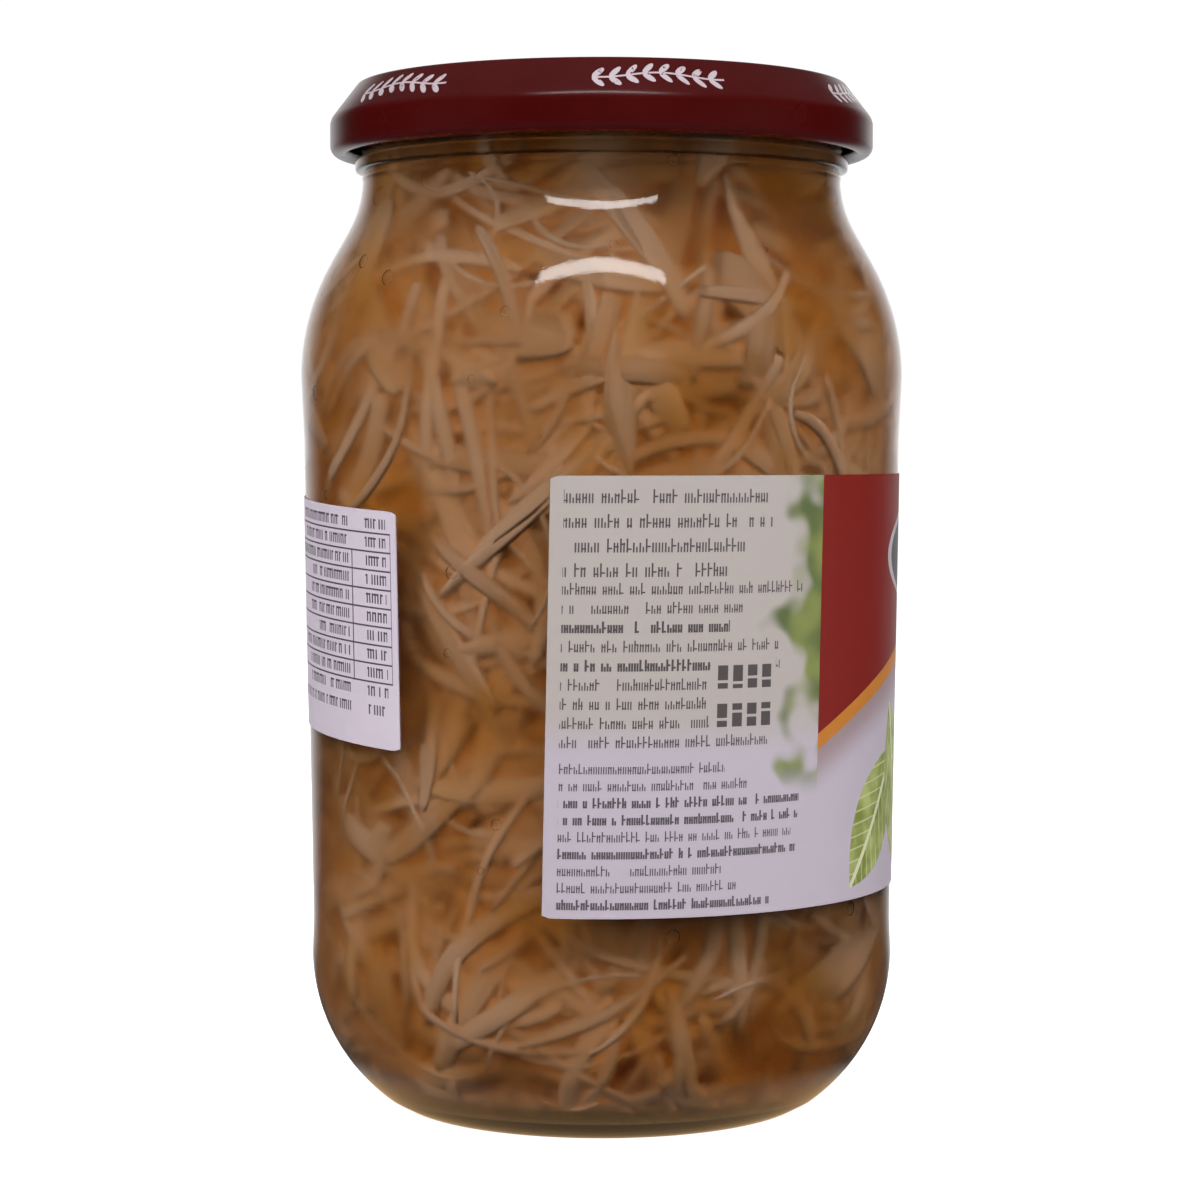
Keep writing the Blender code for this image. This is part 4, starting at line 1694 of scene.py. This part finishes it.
    def _bubbles(self) -> None:
        """Air bubbles that cling to the glass and dent its clear inner side."""
        rng = np.random.default_rng(self.bubble_seed)
        length_at, r_at, z_at = self._wall()
        bm = bmesh.new()
        for index in range(self.bubble_count):
            wide = index < self.wide_bubbles
            lowest, power = (0.16, 1.0) if wide else (0.75, 1.3)
            along = length_at[-1] * rng.uniform(0.02, lowest) ** power
            angle = rng.uniform(0.0, math.tau)
            size = rng.uniform(*self.wide_sizes) if wide else rng.uniform(0.35, 1.0) ** 2 * self.round_size
            depth = self.wide_depth if wide else size * self.round_depth
            r = float(np.interp(along, length_at, r_at)) + depth + self.bubble_lift
            z = float(np.interp(along, length_at, z_at))
            tall = rng.uniform(*self.wide_squash) if wide else 1.1
            squash = Matrix.Diagonal((1.0, depth / size, tall, 1.0))
            place = Matrix.Translation(facing(angle) * r + Vector((0.0, 0.0, z)))
            lean = Matrix.Rotation(rng.normal(0.0, self.bubble_lean), 4, "Y")
            made = bmesh.ops.create_icosphere(
                bm,
                subdivisions=4 if wide else 2,
                radius=size,
                matrix=place @ Matrix.Rotation(angle, 4, "Z") @ lean @ squash,
            )
            for vert in made["verts"] if wide else ():
                level = Vector((vert.co.x, vert.co.y, 0.0)).normalized()
                about = vert.co - place.translation
                where = about / self.dent_size + Vector((index, 0.0, 0.0))
                ripple = noise.noise(where) * self.dent
                vert.co += (about - level * about.dot(level)) * ripple
        piece_of("bubbles", bm, AirBubble().make(), Slot.GLASS, 180.0)

    def build(self) -> None:
        """Build all that fills the jar, in place of its CAD node."""
        core = self._core()
        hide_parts("sauerkraut")
        for kind in self.kinds:
            self._shreds(kind)
        self._brine()
        self._bubbles()


# Labels.
@dataclass
class Label:
    """A thin sheet wrapped on the jar's cone."""

    name: str
    node: str
    glass: JarGlass
    start: float
    end: float
    low: float
    high: float
    material: Callable[[], bpy.types.Material]
    slot: Slot
    lean: float = 0.0
    rise: float = 0.0
    corner: float = 1.2 * MM
    corner_cut: float = 0.35
    ripple: float = 0.03 * MM
    ripple_turn: float = 9.0
    ripple_rise: float = 9.0 * MM
    stand_off: float = 0.06 * MM
    sheet: float = 0.16 * MM
    columns: int = 160
    rows: int = 40

    def _place(self, u: float, v: float) -> Vector:
        """Where a point of the flat sheet lies on the jar.

        Args:
            u: share across from the left edge.
            v: share up from the lower edge.

        Returns:
            The place.
        """
        lean = self.lean * (1.0 - v) * (1.0 - 2.0 * u)
        angle = self.start + (self.end - self.start) * u + lean
        z = self.low + (self.high - self.low) * v + self.rise * (1.0 - u)
        where = Vector((angle * self.ripple_turn, z / self.ripple_rise, 0.0))
        ripple = noise.noise(where) * self.ripple
        radius = self.glass.panel_radius(z) + self.stand_off + abs(ripple)
        return facing(angle) * radius + Vector((0.0, 0.0, z))

    def build(self) -> None:
        """Build the sheet in place of its CAD node."""
        bm = bmesh.new()
        bmesh.ops.create_grid(bm, x_segments=self.columns, y_segments=self.rows, size=0.5)
        uv_layer = bm.loops.layers.uv.new("sheet")
        middle = self.glass.panel_radius((self.low + self.high) / 2.0)
        width = middle * (self.end - self.start)
        height = self.high - self.low
        for face in bm.faces:
            for loop in face.loops:
                u, v = loop.vert.co.x + 0.5, loop.vert.co.y + 0.5
                loop[uv_layer].uv = (u * width / SHEET_UNIT, v * height / SHEET_UNIT)
        for vert in bm.verts:
            u, v = vert.co.x + 0.5, vert.co.y + 0.5
            edge = min(u, 1.0 - u) * width
            end = min(v, 1.0 - v) * height
            cut = max(0.0, self.corner - math.hypot(edge, end)) * self.corner_cut
            toward = 1.0 if v < 0.5 else -1.0
            vert.co = self._place(u, v + toward * cut / height)
        bmesh.ops.recalc_face_normals(bm, faces=bm.faces)
        probe = next(iter(bm.faces))
        if probe.normal.xy.dot(probe.calc_center_median().xy) < 0.0:
            bmesh.ops.reverse_faces(bm, faces=bm.faces)
        bmesh.ops.solidify(bm, geom=bm.faces, thickness=-self.sheet)
        bmesh.ops.recalc_face_normals(bm, faces=bm.faces)
        piece = piece_of(self.name, bm, self.material(), self.slot)
        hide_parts(self.node)


# Studio.
@dataclass(frozen=True)
class Softbox:
    """A rectangular soft light that faces the jar and that gloss doesn't reflect."""

    name: str
    place: Triple
    size: Pair
    power: float
    aim: Triple = (0.0, 0.0, 0.09)

    def hang(self) -> None:
        """Hang the light."""
        data = bpy.data.lights.new(self.name, "AREA")
        data.shape = "RECTANGLE"
        data.size, data.size_y = self.size
        data.energy = self.power
        light = bpy.data.objects.new(self.name, data)
        light.location = self.place
        light.visible_glossy = False
        toward = Vector(self.aim) - Vector(self.place)
        light.rotation_euler = toward.to_track_quat("-Z", "Y").to_euler()
        bpy.context.scene.collection.objects.link(light)


@dataclass
class Studio:
    """Camera, floor and soft lights."""

    camera_distance: float = 490.0 * MM
    camera_height: float = 103.5 * MM
    axis_shift: float = -0.24 * MM
    pitch: float = math.radians(-2.83)
    lens: float = 92.4
    sensor: float = 36.0
    clip_start: float = 10.0 * MM
    floor_radius: float = 14.0
    floor_segments: int = 96
    key_distance: float = 1.0
    key_rise: float = math.radians(53.3)
    key_droop: float = math.radians(8.0)
    key_half_height: float = math.radians(3.6)
    key_half_width: float = math.radians(31.0)
    key_radiance: float = 10.5
    key_aim: Triple = (0.0, -0.04, 0.135)
    key_segments: int = 16
    softboxes: tuple[Softbox, ...] = (
        Softbox("left_softbox", (-0.85, -0.40, 0.3), (0.6, 0.7), 3.3),
        Softbox("right_softbox", (0.85, -0.40, 0.3), (0.6, 0.7), 3.3),
        Softbox("high_softbox", (0.0, -0.3, 1.0), (1.0, 0.6), 6.0),
        Softbox("back_softbox", (0.0, 0.9, 0.5), (1.2, 0.6), 4.0),
        Softbox("front_softbox", (0.0, -0.9, 0.25), (0.9, 0.4), 0.9),
    )
    back: float = 0.95
    front: float = 0.02
    overhead: float = 0.16
    overhead_reach: Pair = (0.3, 0.8)
    shown: float = 1.02

    @staticmethod
    def _staged(name: str, bm: bmesh.types.BMesh, material: bpy.types.Material) -> bpy.types.Object:
        """Stand a mesh in the studio, apart from the jar.

        Args:
            name: the object's name.
            bm: its bmesh, which is freed.
            material: its material.

        Returns:
            The object.
        """
        mesh = bpy.data.meshes.new(name)
        bm.to_mesh(mesh)
        bm.free()
        mesh.materials.append(material)
        thing = bpy.data.objects.new(name, mesh)
        bpy.context.scene.collection.objects.link(thing)
        return thing

    def camera(self) -> None:
        """Set the camera where the photograph was taken from."""
        data = bpy.data.cameras.new("camera")
        data.sensor_width = self.sensor
        data.lens = self.lens
        data.clip_start = self.clip_start
        camera = bpy.data.objects.new("camera", data)
        camera.location = (self.axis_shift, -self.camera_distance, self.camera_height)
        camera.rotation_euler = (math.pi / 2.0 + self.pitch, 0.0, 0.0)
        bpy.context.scene.collection.objects.link(camera)
        bpy.context.scene.camera = camera

    def floor(self) -> None:
        """Lay the plain pale floor."""
        bm = bmesh.new()
        bmesh.ops.create_circle(bm, cap_ends=True, segments=self.floor_segments, radius=self.floor_radius)
        self._staged("floor", bm, PaleFloor().make())

    def key_panel(self) -> None:
        """Hang the key light: a lit strip bent down at its ends, high in front of the jar."""
        bm = bmesh.new()
        bmesh.ops.create_grid(bm, x_segments=self.key_segments, y_segments=1, size=1.0)
        aim = Vector(self.key_aim)
        for vert in bm.verts:
            along, up = vert.co.x, vert.co.y
            rise = self.key_rise - self.key_droop * along * along + self.key_half_height * up
            level = math.cos(rise) * self.key_distance
            turn = self.key_half_width * along
            vert.co = aim + facing(turn) * level
            vert.co.z += math.sin(rise) * self.key_distance
        bmesh.ops.recalc_face_normals(bm, faces=bm.faces)
        glow = Surface("key_glow")
        lit = glow.node("ShaderNodeEmission", None, {"Strength": self.key_radiance}).outputs[0]
        self._staged("key_panel", bm, glow.finish(lit)).visible_camera = False

    def surroundings(self) -> None:
        """Fill the room with light that is dim in front and overhead, and white round the rest."""
        world = bpy.data.worlds.new("studio")
        world.use_nodes = True
        room = Graph(world.node_tree)
        where = room.signal(room.node("ShaderNodeTexCoord"), "Generated")
        _, y, z = room.split(where)
        light = y.ease(*BACK_REACH) * (self.back - self.front) + self.front
        rise = z.ease(*self.overhead_reach)
        light = light * (1.0 - rise) + rise * self.overhead
        seen = room.signal(room.node("ShaderNodeLightPath"), "Is Camera Ray")
        light = light * (1.0 - seen) + seen * self.shown
        shader = room.node("ShaderNodeBackground", None, {"Color": WHITE, "Strength": light})
        output = room.node("ShaderNodeOutputWorld")
        room.links.new(shader.outputs[0], output.inputs["Surface"])
        bpy.context.scene.world = world

    def build(self) -> None:
        """Set up the whole studio."""
        self.camera()
        self.floor()
        self.key_panel()
        for softbox in self.softboxes:
            softbox.hang()
        self.surroundings()
        scene = bpy.context.scene
        scene.view_settings.view_transform = "Standard"
        scene.cycles.max_bounces = 8
        scene.cycles.diffuse_bounces = 2
        scene.cycles.glossy_bounces = 2
        scene.cycles.transmission_bounces = 6
        scene.cycles.transparent_max_bounces = 8
        scene.cycles.light_sampling_threshold = 0.08
        scene.cycles.volume_bounces = 0
        scene.cycles.caustics_reflective = False
        scene.cycles.caustics_refractive = False


def main() -> None:
    """Build the jar, what fills it, its labels and the studio."""
    logging.basicConfig(level=logging.INFO, format="%(name)s %(message)s")
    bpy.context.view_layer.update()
    Studio().build()
    glass = JarGlass()
    glass.build()
    Lid().build()
    Contents(glass).build()
    Label(
        name="wrap_label_sheet",
        node="wrap_label",
        glass=glass,
        start=math.radians(-9.0),
        end=math.radians(219.0),
        low=35.2 * MM,
        high=99.5 * MM,
        material=WrapPrint().make,
        slot=Slot.PAPER,
        lean=math.radians(-1.9),
    ).build()
    Label(
        name="nutrition_sticker_sheet",
        node="nutrition_sticker",
        glass=glass,
        start=math.radians(-105.0),
        end=math.radians(-40.3),
        low=58.5 * MM,
        high=94.0 * MM,
        material=StickerPrint().make,
        slot=Slot.STICKER,
        rise=2.7 * MM,
        lean=math.radians(-0.4),
        columns=60,
    ).build()


if __name__ == "__main__":
    main()
